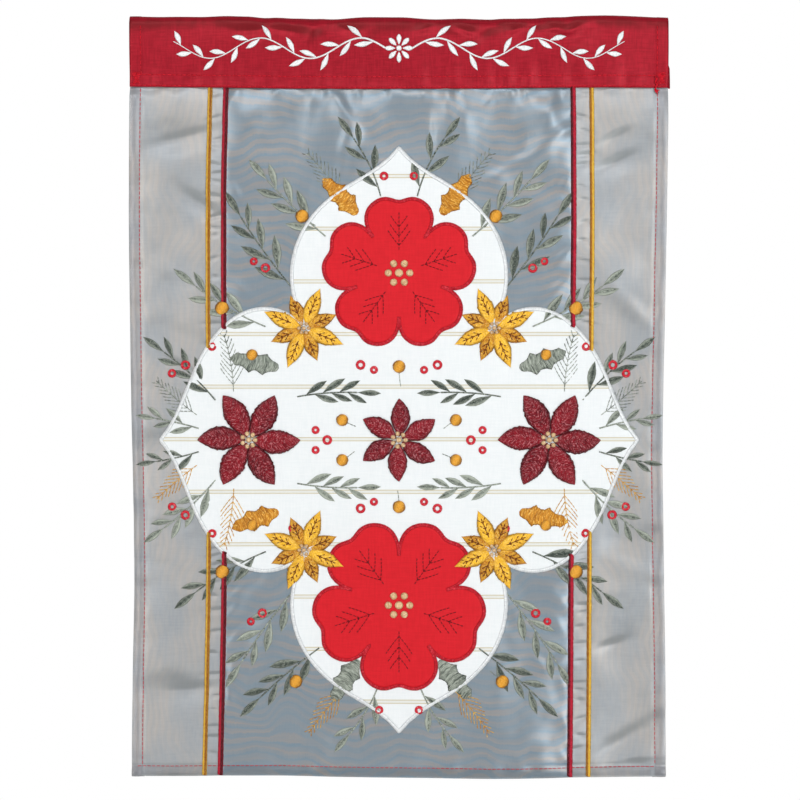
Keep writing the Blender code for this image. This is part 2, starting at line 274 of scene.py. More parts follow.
def clothMaterial(name, look):
    # Satin or plain cloth. The watering's bands mix the warm and cool tones, and slubs vary them.
    material, tree, shader = newMaterial(name, **look["gloss"])
    vector = put(tree, "ShaderNodeUVMap", uv_map="cloth").outputs[0]
    weave = useGroup(tree, "weave", {"Vector": vector, "Pitch": 0.5 * mm, "Float": look["float"]})
    tone = colour(look["cool"])
    if "water" in look:
        shift = calc(tree, "MULTIPLY_ADD", weave["Slub"], 0.6, -0.3)
        if "swirl" in look:
            shift = calc(tree, "ADD", shift, swirlShift(tree, vector, look["swirl"]))
        turned = placed(tree, vector, {"Rotation": (0.0, 0.0, look["turn"])})
        water = useGroup(tree, "watering", {"Vector": turned, "Shift": shift, **look["water"]})
        band = calc(tree, "MULTIPLY", water["Band"], look["bandShare"])
        patch = calc(tree, "MULTIPLY", water["Patch"], 1 - look["bandShare"])
        tone = blendColours(tree, calc(tree, "ADD", band, patch), tone, colour(look["warm"]))
    slub = calc(tree, "MULTIPLY", spread(tree, weave["Slub"], 0.36, 0.64), look["slubShare"])
    tone = blendColours(tree, slub, tone, colour(look["slub"]))
    if "lines" in look:
        tone = drawLines(tree, vector, tone, look["lines"])
    if "deep" in look:
        tone = paintFoldShade(tree, tone, look["deep"])
    for axis, (width, hemTone) in look.get("hems", {}).items():
        tone = shadeHem(tree, split(tree, vector)[axis], tone, width, colour(hemTone))
    bump = {"Height": weave["Height"], "Strength": look["bump"], "Distance": 0.1 * mm}
    feed(tree, shader, {"Base Color": tone, "Normal": put(tree, "ShaderNodeBump", bump).outputs[0]})
    return material


def drawLines(tree, vector, tone, lines):
    # Pairs of thin lines across the cloth: the height is wrapped to one period about a pair's
    # middle, and what lies within half a line's width of either line takes its colour.
    start = lines["start"] - lines["period"] / 2
    wrapped = calc(tree, "WRAP", split(tree, vector)["Y"], start, start + lines["period"])
    off = calc(tree, "ABSOLUTE", calc(tree, "SUBTRACT", wrapped, lines["start"]))
    fromLine = calc(tree, "ABSOLUTE", calc(tree, "SUBTRACT", off, lines["apart"] / 2))
    line = calc(tree, "SUBTRACT", 1.0, spread(tree, fromLine, lines["width"] * 0.3, lines["width"] * 0.8))
    between = calc(tree, "LESS_THAN", off, lines["apart"] / 2)
    tinted = calc(tree, "MAXIMUM", line, calc(tree, "MULTIPLY", between, lines["between"]))
    return blendColours(tree, tinted, tone, colour(lines["tone"]))


def paintFoldShade(tree, tone, deep):
    # Painted shade: the cloth's colour is made deeper in tone where it leans down into a fold.
    paintedShade = calc(tree, "MULTIPLY", spread(tree, shadeOf(tree), 0.0, deep["lean"]), deep["share"])
    return blendColours(tree, paintedShade, tone, colour(deep["tone"]))


def shadeHem(tree, place, tone, width, hemTone):
    # Where the cloth lies double, within a hem's width of its edge, less light comes through.
    inset = calc(tree, "ABSOLUTE", place)
    double = calc(tree, "SUBTRACT", 1.0, spread(tree, inset, width - 0.5 * mm, width + 0.5 * mm))
    edge = spread(tree, inset, 0.3 * mm, 1.4 * mm)
    return blendColours(tree, calc(tree, "MULTIPLY", double, edge), tone, hemTone, "MULTIPLY")


# The cloth's shape, from the construction's own tables
def inMetres(columns, rows):
    # A table that is typed in millimetres. Its lengths are kept in metres, and the rest as it is.
    names = columns.split()
    asTyped = ("angle", "heading", "turn", "bend", "pairs", "tone")
    scales = [1 if name in asTyped else 1000 for name in names]
    kept = [[part if scale == 1 else part / scale for part, scale in zip(row, scales)] for row in rows]
    return {"columns": names, "rows": kept}


outline = inMetres("z leftEdge leftSeam rightSeam rightEdge", (
    (-457, -160.4, -107.5, 102.6, 160.4), (-400, -160, -106.2, 103.1, 160),
    (-330, -159, -104.8, 103.2, 158.8), (-255, -160.2, -104.6, 103.8, 157.8),
    (-180, -161.4, -105, 104.2, 159), (-110, -162, -105, 104.7, 160.6),
    (-43, -161.4, -103.8, 104.4, 161.4), (0, -161.4, -103.8, 104.4, 161.4),
))
sags = inMetres("x top lower foot", (  # how far three lines lie below their nominal height
    (-161.4, 1.2, -0.4, -0.4), (-120, 0.4, 0, -0.2), (-75, 1.8, 0.6, 0), (-30, 1.7, 0.9, 0.6),
    (10, 1.5, 0.8, 0.9), (52, 2.2, 0.6, 1.5), (90, 0.9, 0.2, 1.2), (125, 0, 0.1, 0.8),
    (161.4, 1, 0.2, 0.3),
))
# A fold's reach and half width are where it dies out along and across. Some are lower than built.
foldColumns = "x z angle reach halfWidth rise"
folds = inMetres(foldColumns, (
    (-136, -72, 5, 26, 9, -1.4), (-124, -112, -35, 22, 8.5, -1.2), (-134, -193, -20, 28, 8.5, -1.3),
    (-134, -256, 15, 24, 10, -1.1), (-146, -303, 0, 22, 9, -1.2), (-128, -404, 3, 30, 9.5, -1.7),
    (-92, -70, 62, 26, 10, 1.2), (-49, -76, 80, 32, 11, 0.6), (37, -78, 76, 34, 12, 0.8),
    (92, -74, 112, 30, 11, 1.4), (88, -190, 84, 70, 12, 0.6), (-84, -380, 48, 36, 11, 1.2),
    (84, -428, 88, 34, 12, 0.7), (128, -86, 15, 26, 9.5, -1.1), (131, -160, -42, 34, 11, 1.4),
    (131, -318, -10, 28, 9.5, -1), (130, -379, 22, 26, 9.5, -0.9), (136, -437, 28, 36, 9.5, -1),
))
creases = inMetres(foldColumns, (  # sharper and shorter, where the sewing holds the cloth
    (-99, -50, 80, 9, 4.2, 0.9), (-98.5, -105.5, -58, 6, 3.1, 0.8), (-96, -164, -35, 9, 3.6, 0.6),
    (-74.4, -46.5, 90, 3.5, 2.5, 0.6), (-59.2, -46.5, 90, 3.5, 2.2, 0.6),
    (-51.6, -50, 86, 6.5, 3.4, 0.9), (-42, -48.5, 80, 5, 3.1, 0.6), (-37.5, -49, 84, 5, 3.4, 0.8),
    (-34.5, -56.5, -61, 12.5, 5, 1.9), (-30.5, -74.5, 70, 11.5, 5.2, 1.5),
    (-35.5, -96, 72, 10, 4.2, 0.6), (-26.1, -46.5, 88, 4, 2.5, 0.6), (3.5, -46, 84, 3.5, 2.2, 0.4),
    (15, -47.5, 80, 5.5, 3.2, 0.9), (22.5, -70, 92, 12, 3.6, 0.9), (29, -49, 100, 7, 4.8, 1),
    (31, -66, 91, 18, 9.5, 2.1), (39.2, -59, 97, 14, 3.4, 0.6), (55.2, -49.2, 60, 6, 3.1, 0.8),
    (66.6, -47.5, 85, 5.5, 3.2, 0.9), (76.8, -47.5, 92, 5, 3.2, 0.9), (88, -60, -72, 18.5, 12, 2.4),
    (99.6, -46.8, 90, 3.5, 2.2, 0.6), (98.5, -69, 40, 7, 3.8, 1.3), (84, -78.6, 15, 8, 5.4, 1.2),
    (77.5, -87, 24, 10, 5.4, 1.6), (59, -97, 22, 7.5, 5, 1), (100, -100, 55, 5, 3.1, 0.8),
    (99.5, -112, -30, 6, 3.4, 0.8), (96, -128, 36, 11, 4.2, 0.8), (98, -146, 42, 7, 3.6, 0.8),
    (95, -164, 38, 10, 4.2, 0.9), (98.5, -180, 30, 7, 3.6, 0.8), (99, -196, 44, 7, 3.6, 0.8),
    (-96, -346, 38, 8, 3.4, 0.7), (-98, -356, 48, 6, 3.1, 0.8), (-98.5, -374, 50, 6, 3.1, 0.8),
    (-86, -366.5, 20, 10, 3.6, 0.6), (-101, -395, 70, 6.5, 3.1, 0.7), (-102, -408, 92, 7, 3.1, 0.6),
    (-89, -398.5, 30, 7, 3.9, 0.6), (98.5, -353, -40, 7, 3.6, 0.8), (97.5, -367.5, -48, 6.5, 3.4, 0.8),
    (85.5, -390.5, -45, 6, 3.4, 0.8), (95, -389.5, 32, 9, 4, 1.2), (98.5, -401, -60, 5, 3.4, 0.8),
    (79, -400.5, 10, 7, 4.2, 0.5), (96, -418.5, 5, 8, 3.6, 0.7), (100, -424.5, -60, 4.5, 3.1, 0.8),
    (75.6, -433, 12, 12, 4.2, 0.8), (88.8, -437, -3, 16, 3.9, 0.7), (82.8, -445.5, 20, 10, 4.8, 0.8),
    (99.6, -445.5, -40, 5, 3.5, 0.8), (-132, -76, 14, 22, 5.7, -1.6), (-118, -115, -38, 14, 5.3, -1.5),
    (-144, -150, -24, 16, 4.8, 0.8), (-131, -212, -32, 20, 5.1, -1.6), (-140, -300, 12, 18, 5.3, 0.9),
    (-126, -407, 6, 15, 6.2, -1.8), (130, -74, 26, 10, 4.6, -1.6), (129, -90, 24, 13, 5.3, -1.9),
    (140, -176, -46, 20, 5.3, 1.1), (136, -330, -14, 18, 5.1, 0.9), (129, -379, 20, 10, 4.6, -1.4),
    (136, -436, 32, 24, 6.6, -1.2), (142, -450, 4, 16, 4.1, -1.6),
))
creases["skew"] = 0.30  # how much steeper one side is, to the left of the crease's angle
flag = {
    "height": 0.457,
    "sleeveDrop": 0.0436,
    "tuck": 0.0052,  # how far the panels reach up into the sleeve's seam
    "fade": 0.016,  # below the sleeve, where the cloth starts to leave the seam's plane
    "waveLength": 0.190,
    "waveRise": 0.0016,
    "waveShift": 0.035,
    "bowRise": 0.0018,
    "curlReach": 0.014,
    "curls": (-0.0026, 0.0024),  # of the left and the right edge
}


def smoothStep(low, high, value):
    share = np.clip((value - low) / (high - low), 0.0, 1.0)
    return share * share * (3 - 2 * share)


def bell(place):
    return np.exp(-(place**2))


def readTable(table, column, at):
    # A smooth curve through a table's rows: each stretch is a cubic whose end slopes are those of
    # the lines between the neighbouring rows.
    rows = np.array(table["rows"])
    key, value = rows[:, 0], rows[:, table["columns"].index(column)]
    slope = np.gradient(value, key)
    slope[1:-1] = (value[2:] - value[:-2]) / (key[2:] - key[:-2])
    at = np.clip(at, key[0], key[-1])
    i = np.clip(np.searchsorted(key, at) - 1, 0, len(key) - 2)
    step = key[i + 1] - key[i]
    t = (at - key[i]) / step
    start = (2 * t**3 - 3 * t**2 + 1) * value[i] + (t**3 - 2 * t**2 + t) * step * slope[i]
    return start + (3 * t**2 - 2 * t**3) * value[i + 1] + (t**3 - t**2) * step * slope[i + 1]


def inward(line, x, z):
    # How far a place lies in from the left and from the right line, the Edge or the Seam.
    return x - readTable(outline, "left" + line, z), readTable(outline, "right" + line, z) - x


def foldSum(table, x, z):
    # Each fold is a bell curve along its angle and across it, there steeper on one side by the skew.
    total = np.zeros(np.broadcast(x, z).shape)
    skew = table.get("skew", 0.0)
    for foldX, foldZ, angle, reach, halfWidth, height in table["rows"]:
        run = math.radians(angle)
        along = (x - foldX) * math.cos(run) + (z - foldZ) * math.sin(run)
        across = ((z - foldZ) * math.cos(run) - (x - foldX) * math.sin(run)) / halfWidth
        across = across / (1 - skew * np.tanh(across))
        total += height * np.exp(-((along / reach) ** 2) - across**2)
    return total


def clothRise(x, z):
    # The folds, with slow waves and curled edges added.
    below = -z - flag["sleeveDrop"]
    down = np.clip(below / (flag["height"] - flag["sleeveDrop"]), 0.0, 1.0)
    turns = 2 * math.pi * (x - flag["waveShift"]) / flag["waveLength"]
    total = foldSum(folds, x, z) + flag["waveRise"] * down * np.cos(turns)
    total += flag["bowRise"] * np.sin(1.5 * math.pi * down)
    for curl, distance in zip(flag["curls"], inward("Edge", x, z)):
        total += curl * np.sin(math.pi * down) * np.exp(-distance / flag["curlReach"])
    return total * smoothStep(0.0, flag["fade"], below)


def fromNet(net, i, j, s, t):
    # What a net holds at shares s and t between its corners i, i + 1 and j, j + 1; it repeats.
    rows, columns = net.shape
    near, far, low, high = i % rows, (i + 1) % rows, j % columns, (j + 1) % columns
    return (net[near, low] * (1 - s) + net[far, low] * s) * (1 - t) + (
        net[near, high] * (1 - s) + net[far, high] * s) * t


def wobble(a, b, cell, seed):
    # Smooth random waves from -1 to 1: a random number at each corner of a square net, blended
    # between the corners by smooth steps.
    net = np.random.default_rng(seed).uniform(-1, 1, (64, 64))
    a, b = np.broadcast_arrays(a / cell, b / cell)
    i, j = np.floor(a).astype(int), np.floor(b).astype(int)
    return fromNet(net, i, j, smoothStep(0, 1, a - i), smoothStep(0, 1, b - j))


# The applied pieces' outlines
medallion = {
    "x": 0.000, "z": -0.255, "halfWidth": 0.143, "halfHeight": 0.175, "lobes": 4, "turn": 0.0,
    "waist": 0.60, "roundness": 2.5, "tip": 0.105, "tipWidth": 0.13, "lift": 0.8 * mm,
}
rosettes = {
    "rosette_upper": {"x": 0.0, "z": -0.155, "halfWidth": 0.046, "halfHeight": 0.046, "turn": 90.0},
    "rosette_lower": {"x": 0.0, "z": -0.354, "halfWidth": 0.052, "halfHeight": 0.052, "turn": -90.0},
}
for rosette in rosettes.values():
    rosette.update(lobes=5, waist=0.57, roundness=3.2, tip=-0.070, tipWidth=0.22, lift=0.9 * mm)


def lobedRadius(shape, angle):
    # As a share of the whole: waist + (1 - waist) * the square root of (1 - |s| to the roundness),
    # where s is the place across a lobe from -1 to 1, and a point or a dip at s = 0.
    halfLobe = math.pi / shape["lobes"]
    s = (angle - math.radians(shape["turn"]) + halfLobe) % (2 * halfLobe) / halfLobe - 1
    radius = shape["waist"] + (1 - shape["waist"]) * np.sqrt(1 - np.abs(s) ** shape["roundness"])
    if shape["tip"] > 0:
        return radius + shape["tip"] * (np.exp(-np.abs(s) / shape["tipWidth"]) - 1)
    return radius + shape["tip"] * bell(s / shape["tipWidth"])


def lobedOutline(shape, pointsInLobe=60):
    # The outline as points (x, z), crowded towards the notches where it turns fastest.
    s = np.sin(math.pi * (np.arange(pointsInLobe) / pointsInLobe - 0.5))
    lobe = np.arange(shape["lobes"])[:, None]
    angle = (math.radians(shape["turn"]) + math.pi / shape["lobes"] * (2 * lobe + s)).ravel()
    radius = lobedRadius(shape, angle + 1e-9)
    x = shape["x"] + shape["halfWidth"] * radius * np.cos(angle)
    return np.stack([x, shape["z"] + shape["halfHeight"] * radius * np.sin(angle)], axis=1)


def distanceNet(shape, margin=0.02):
    # A net 1 mm apart of how far a place lies outside an outline, negative inside: the least of the
    # distances to its straight stretches.
    reachX, reachZ = shape["halfWidth"] + margin, shape["halfHeight"] + margin
    netX = np.arange(shape["x"] - reachX, shape["x"] + reachX, mm)
    netZ = np.arange(shape["z"] - reachZ, shape["z"] + reachZ, mm)
    gridX, gridZ = np.meshgrid(netX, netZ, indexing="ij")
    start = lobedOutline(shape, 40)
    nearest = np.full(gridX.shape, 1.0)
    for (startX, startZ), (runX, runZ) in zip(start, np.roll(start, -1, axis=0) - start):
        offX, offZ = gridX - startX, gridZ - startZ
        share = np.clip((offX * runX + offZ * runZ) / (runX**2 + runZ**2), 0, 1)
        nearest = np.minimum(nearest, np.hypot(offX - share * runX, offZ - share * runZ))
    acrossX = (gridX - shape["x"]) / shape["halfWidth"]
    acrossZ = (gridZ - shape["z"]) / shape["halfHeight"]
    inside = np.hypot(acrossX, acrossZ) < lobedRadius(shape, np.arctan2(acrossZ, acrossX))
    return netX[0], netZ[0], np.where(inside, -nearest, nearest)


def outlineDistance(shape, x, z):
    # Read from the net, which is made once.
    if "net" not in shape:
        shape["net"] = distanceNet(shape)
    firstX, firstZ, net = shape["net"]
    a = np.clip((x - firstX) / mm, 0, net.shape[0] - 1.001)
    b = np.clip((z - firstZ) / mm, 0, net.shape[1] - 1.001)
    i, j = a.astype(int), b.astype(int)
    return fromNet(net, i, j, a - i, b - j)


# Small puckers that the sewing pulls into the cloth, too fine for the construction
puckers = {  # name: rise, how far it reaches from the seam, and the waves' length
    "sleeve": (0.6 * mm, 20 * mm, 9 * mm),
    "stripe": (0.45 * mm, 9 * mm, 9 * mm),
    "gather": (1.10 * mm, 5.5 * mm, 4.2 * mm),
    "applied": (0.35 * mm, 8 * mm, 8 * mm),
    "hem": (0.5 * mm, 6 * mm, 8 * mm),
}
drapes = ((1.2 * mm, 34 * mm, 10), (0.45 * mm, 15 * mm, 11), (0.08 * mm, 5 * mm, 12))  # and the seeds
swell = {"rise": 2.7 * mm, "reach": 10 * mm, "fade": 100 * mm}  # out below the sleeve and slowly back
seamDips = {  # how deep and how wide the sewing presses the cloth down, and how high a hem stands
    "stripe": (0.18 * mm, 2.6 * mm),
    "hemLine": (0.45 * mm, 1.1 * mm),
    "hemBulge": (-0.55 * mm, 2.2 * mm),
}
tucks = {"rise": 1.1 * mm, "halfWidth": 1.1 * mm, "reach": 4.5 * mm, "apart": (4 * mm, 15 * mm)}
goldOffset = {"left": -9.4 * mm, "right": 11.1 * mm}  # of the gold stripe from the seam
hemInset = 6.4 * mm
footInset = 6.0 * mm


def makeTucks():
    # Short creases across the strip between the two stripes of each side, at uneven distances.
    draw = np.random.default_rng(13)
    rows = []
    for side in ("left", "right"):
        z = -flag["sleeveDrop"] - 4 * mm
        while z > -flag["height"] + 4 * mm:
            x = readTable(outline, side + "Seam", z) + goldOffset[side] * draw.uniform(0.35, 0.75)
            size = draw.uniform(0.5, 1.0)
            rows.append((x, z, draw.uniform(-16, 16), tucks["reach"] * draw.uniform(0.6, 1.3),
                         tucks["halfWidth"] * draw.uniform(0.8, 1.3), -tucks["rise"] * size))
            z -= draw.uniform(*tucks["apart"])
    return {"rows": rows}


tuckCreases = makeTucks()


def puckerRow(name, place, other, distance, seed, pinched=False):
    # Random waves along a seam that die away from it as a falling curve. Pinched ones are narrow
    # ridges, 1 less twice the size of the wave.
    rise, reach, cell = puckers[name]
    waves = wobble(place, other, cell, seed)
    waves = 1 - 2 * np.sqrt(waves**2 + 0.02) if pinched else waves
    return rise * waves * np.exp(-np.abs(distance) / reach)


def dip(name, distance):
    depth, reach = seamDips[name]
    return -depth * bell(distance / reach)


def pucker(x, z):
    # The puckers and dips of every seam, and the waves all over the cloth, weaker under the
    # medallion. They start below the sleeve, and its own creases, gathers and swell start sooner.
    below = -z - flag["sleeveDrop"]
    total = foldSum(tuckCreases, x, z) + puckerRow("sleeve", x, below * 0.25, below, 1)
    inLeft, inRight = inward("Seam", x, z)
    fromRight = puckerRow("stripe", z + 0.6 * inRight, inRight * 0.4, inRight, 2, True)
    fromLeft = 0.7 * puckerRow("stripe", z + 0.5 * inLeft, inLeft * 0.4, inLeft, 3, True)
    total += np.where(inRight > 0, fromRight, 0) + np.where(inLeft > 0, fromLeft, 0)
    for side, past in (("left", inLeft), ("right", -inRight)):
        total += dip("stripe", past) + dip("stripe", past - goldOffset[side])
    edge = outlineDistance(medallion, x, z)
    around = np.arctan2(z - medallion["z"], x) * 0.11
    total += np.where(edge > 0, 1.0, 0.30) * puckerRow("applied", around, edge * 0.3 + 0.3, edge, 6, True)
    for distance, seed in zip(inward("Edge", x, z), (7, 8)):
        total += puckerRow("hem", z, distance * 0.3, distance - hemInset, seed)
        total += dip("hemLine", distance - hemInset) + dip("hemBulge", distance - 0.45 * hemInset)
    fromFoot = flag["height"] + z
    total += puckerRow("hem", x, z * 0.3, fromFoot - footInset, 9)
    total += dip("hemLine", fromFoot - footInset) + dip("hemBulge", fromFoot - 0.45 * footInset)
    flatter = 1 - 0.55 * smoothStep(2 * mm, -6 * mm, edge)
    for rise, cell, seed in drapes:
        total += flatter * rise * wobble(x, z, cell, seed)
    near = foldSum(creases, x, z) + puckerRow("gather", x, below * 0.3, below, 4)
    near += swell["rise"] * np.tanh(below / swell["reach"]) * np.exp(-below / swell["fade"])
    return total * smoothStep(-1 * mm, 6 * mm, below) + near * smoothStep(-0.5 * mm, 1.5 * mm, below)


def panelRise(x, z):
    return clothRise(x, z) + pucker(x, z)


def topRise(x, z):
    # The panels, and each applied piece's lift inside its outline.
    rise = panelRise(x, z)
    for shape in (medallion, *rosettes.values()):
        rise = rise + shape["lift"] * smoothStep(1.0 * mm, -1.0 * mm, outlineDistance(shape, x, z))
    return rise


def leanOf(surface, x, z, step=1.0 * mm):
    # How steeply a surface leans down, from the difference of its rise a little above and below.
    return (surface(x, z + step) - surface(x, z - step)) / (2 * step)


# Meshes from whole arrays
def meshPiece(name, patches, material, layer):
    # Patches are (points, faces, flat places, shades); each one's faces count from its own start.
    points = np.concatenate([patch[0].reshape(-1, 3) for patch in patches])
    places = np.concatenate([patch[2].reshape(-1, 2) for patch in patches])
    faces = []
    start = 0
    for patch in patches:
        for block in patch[1]:
            faces.extend((block + start).tolist())
        start += patch[0].size // 3
    mesh = bpy.data.meshes.new(name)
    mesh.from_pydata(points.tolist(), [], faces)
    corners = np.empty(len(mesh.loops), dtype=np.int32)
    mesh.loops.foreach_get("vertex_index", corners)
    flat = mesh.uv_layers.new(name=layer)
    flat.data.foreach_set("uv", places[corners].astype(np.float32).ravel())
    if patches[0][3] is not None:
        shades = np.concatenate([patch[3].ravel() for patch in patches]).astype(np.float32)
        mesh.attributes.new("shade", "FLOAT", "POINT").data.foreach_set("value", shades)
    mesh.shade_smooth()
    mesh.materials.append(material)
    piece = addObject(name, mesh)
    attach(piece, "root")
    return piece


def clothPiece(name, node, slot, patch, thickness):
    # One sheet, thickened away from its face, in the place of a solid.
    piece = meshPiece(name, [patch], materials[slot], "cloth")
    solid = piece.modifiers.new("Thickness", "SOLIDIFY")
    solid.thickness = thickness
    solid.offset = -1.0
    solid.use_even_offset = False
    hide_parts(node)
    return piece


def gridFaces(columns, rows):
    # Quads of a grid whose points are numbered column by column, facing the viewer.
    i, j = np.meshgrid(np.arange(columns - 1), np.arange(rows - 1), indexing="ij")
    corner = (i * rows + j).ravel()
    return np.stack([corner, corner + rows, corner + rows + 1, corner + 1], axis=1)


def spacedSteps(start, end, pitches):
    # Places from start to end whose spacing follows the given pitches: the sum of 1 / pitch along
    # the way is cut into equal parts.
    places = np.linspace(start, end, 2000)
    rate = 1 / (np.interp(places, *np.array(pitches).T) * mm)
    passed = np.concatenate([[0], np.cumsum((rate[1:] + rate[:-1]) / 2 * np.abs(np.diff(places)))])
    return np.interp(np.linspace(0, passed[-1], int(passed[-1]) + 1), passed, places)


# The panels
panelCloth = {
    "width": {"centre": 0.208, "side": 0.056},
    "rowPitch": {  # millimetres between rows at each height above the foot
        "centre": ((0.0, 1.3), (0.030, 1.9), (0.146, 1.9), (0.152, 5.6), (0.250, 5.6), (0.256, 1.9),
                   (0.350, 1.8), (0.390, 1.1), (0.419, 0.9)),
        "side": ((0.0, 1.15), (0.419, 1.15)),
    },
    "linePitch": {  # and between lines at each place across, from the left seam or the free edge
        "centre": ((0.0, 1.1), (0.030, 1.25), (0.178, 1.25), (0.208, 1.1)),
        "side": ((0.0, 1.2), (0.010, 1.3), (0.020, 2.2), (0.036, 2.2), (0.044, 1.3), (0.056, 1.1)),
    },
    "hemPitch": 2.0 * mm,
    "thickness": 0.30 * mm,
    "hem": 8.0 * mm,
    "foldDepth": 0.70 * mm,  # of two layers, where a hem lies on the cloth's back
    "stackDepth": 1.50 * mm,  # of four layers, at the corners and at the seams' laps
    "lap": 5.0 * mm,  # of the centre panel behind the side panels
    "lapDepth": 0.42 * mm,
}


def foldLine(end, pitches):
    # From the inner end along the front, round the folded edge as a half circle, and back along
    # the hem: how far in from the edge each point lies, and how far it is turned under.
    radius, hem = panelCloth["foldDepth"] / 2, panelCloth["hem"]
    front = spacedSteps(end, radius, pitches)
    bend = np.linspace(0, math.pi, 7)[1:-1]
    back = np.linspace(radius, hem, int(hem / panelCloth["hemPitch"]) + 1)
    inset = np.concatenate([front, radius * (1 - np.sin(bend)), back])
    turned = np.concatenate([front * 0, (1 - np.cos(bend)) / 2, back * 0 + 1])
    return inset, turned


def panelSheet(region, slot):
    # Across: the distance in from the free edge, or from the left seam. Up: the distance from the
    # foot. A turned layer lies behind, and where both edges turn the layers stack in order.
    size = panelCloth
    kind = "centre" if region == "centre" else "side"
    nominal = size["width"][kind]
    length = flag["height"] - flag["sleeveDrop"] + flag["tuck"]
    up, turnedUp = [part[::-1] for part in foldLine(length, size["rowPitch"][kind])]
    z = np.broadcast_to(-flag["height"] + up, (1, len(up)))
    leftSeam, rightSeam = readTable(outline, "leftSeam", z), readTable(outline, "rightSeam", z)
    if region == "centre":
        edgeSteps = np.array([0.2, 0.8, 1.5]) * mm
        inner = spacedSteps(2.6 * mm, nominal - 2.6 * mm, size["linePitch"][kind])
        lap = np.array([-size["lap"], -size["lap"] / 2, 0.0])
        line = np.concatenate([lap, edgeSteps, inner, nominal - edgeSteps[::-1], nominal - lap[::-1]])
        line = line[:, None]
        x = leftSeam + line * (rightSeam - leftSeam) / nominal
        fromSeam = np.minimum(line, nominal - line)
        behind = size["lapDepth"] * smoothStep(1.5 * mm, 0.2 * mm, fromSeam)
    else:
        inset, turned = foldLine(nominal, size["linePitch"][kind])
        if region == "left":
            inset, turned = inset[::-1], turned[::-1]
        inset, turned = inset[:, None], turned[:, None]
        freeEdge = readTable(outline, region + "Edge", z)
        seam = leftSeam if region == "left" else rightSeam
        seam = seam + np.sign(seam) * 0.15 * mm
        x = freeEdge + inset * (seam - freeEdge) / nominal
        fromSeam = nominal - inset
        behind = size["foldDepth"] * turned
        line = np.where(turned > 0.5, -inset, inset)
    z = z - readTable(sags, "foot", x) * (1 - up / length)
    thick = smoothStep(size["lap"] + 3 * mm, size["lap"], fromSeam)
    if kind == "side":
        thick = np.maximum(thick, smoothStep(size["hem"] + 3 * mm, size["hem"], inset))
    stack = size["foldDepth"] + (size["stackDepth"] - size["foldDepth"]) * thick
    y = behind + (stack - 2 * behind) * turnedUp - panelRise(x, z)
    flat = np.stack([line + 0 * z, np.where(turnedUp > 0.5, -up, up) + 0 * x], axis=2)
    # The lean becomes the shade attribute, the mask of the side satin's painted fold shade.
    patch = (np.stack([x, y, z], axis=2), [gridFaces(*x.shape)], flat, leanOf(panelRise, x, z))
    piece = clothPiece(region + "_cloth", "panel_" + region, slot, patch, size["thickness"])


# The sleeve
pocket = inMetres("z front back", (  # its inside from its lower edge up, as the walls' places in Y
    (-43.6, -0.3, 2.1), (-38.4, -0.3, 2.1), (-34, -0.9, 2.8), (-27, -2.1, 4.3), (-19, -3, 5.6),
    (-12, -3.2, 6), (-5.6, -3.2, 6),
))
sleeveCloth = {
    "wall": 1.0 * mm,  # from the inside of the pocket to its outer face
    "thickness": 0.45 * mm,
    "dimple": 0.45,  # how much of the top edge's sag also presses the front wall back
    "pitch": 1.5 * mm,
    "rowPitch": ((-0.0436, 1.2), (-0.0360, 1.3), (-0.0280, 2.0), (-0.0190, 1.8), (-0.0056, 1.0)),
    "endHem": 6.6 * mm,
    "tab": 1.5 * mm,  # the back wall's right end is cut this much longer near the seam
    "hemRise": 0.30 * mm,
    # rim: painted shade, in uneven streaks, along the top where the cloth turns over
    "rim": {"lean": 0.38, "from": (-12.5 * mm, -4.0 * mm), "to": (-1.2 * mm, -4.2 * mm), "cell": 3 * mm},
    "wave": {"rise": 1.2 * mm, "cell": 20 * mm},
    "gather": {"rise": 1.1 * mm, "cell": 6.5 * mm, "reach": 8 * mm},
    "crumple": {"rise": 1.5 * mm, "cell": 9 * mm, "top": -9 * mm, "reach": 9 * mm},
    "crumpled": ((-0.070, 0.034), (0.075, 0.048)),  # the middle and half the length of each stretch
}
sleeveDents = inMetres(foldColumns, (  # where the cloth buckles over the pole, below the top edge
    (-89.5, -8.5, 8, 8, 2.2, -1.2), (-78.5, -10, 65, 7, 3, 0.9), (-67, -7.8, -6, 8, 2.2, -1.2),
    (-52, -10, 55, 8, 3.2, 0.9), (-30, -7.8, -20, 6, 2.2, -1.3), (-20, -12, 40, 8, 3.4, 0.7),
    (14.4, -7.2, 20, 5.5, 2.2, -1.1), (24, -11, 70, 7, 3.4, 0.8), (39, -7.4, -25, 8, 2.4, -1.5),
    (50, -9.5, 35, 10, 3.6, 1.1), (69, -7.4, 15, 6, 2.2, -1.1), (89, -8, -5, 7, 2.2, -1.2),
    (103, -8.6, 20, 7.5, 2.4, -1.4), (109, -14, 32, 15, 5, 1.2),
))


def sleeveUp(z):
    low, high = pocket["rows"][1][0], pocket["rows"][-1][0]
    return np.clip((z - low) / (high - low), 0.0, 1.0)


def sleeveSag(x, z):
    up = sleeveUp(z)
    return readTable(sags, "top", x) * up + readTable(sags, "lower", x) * (1 - up)


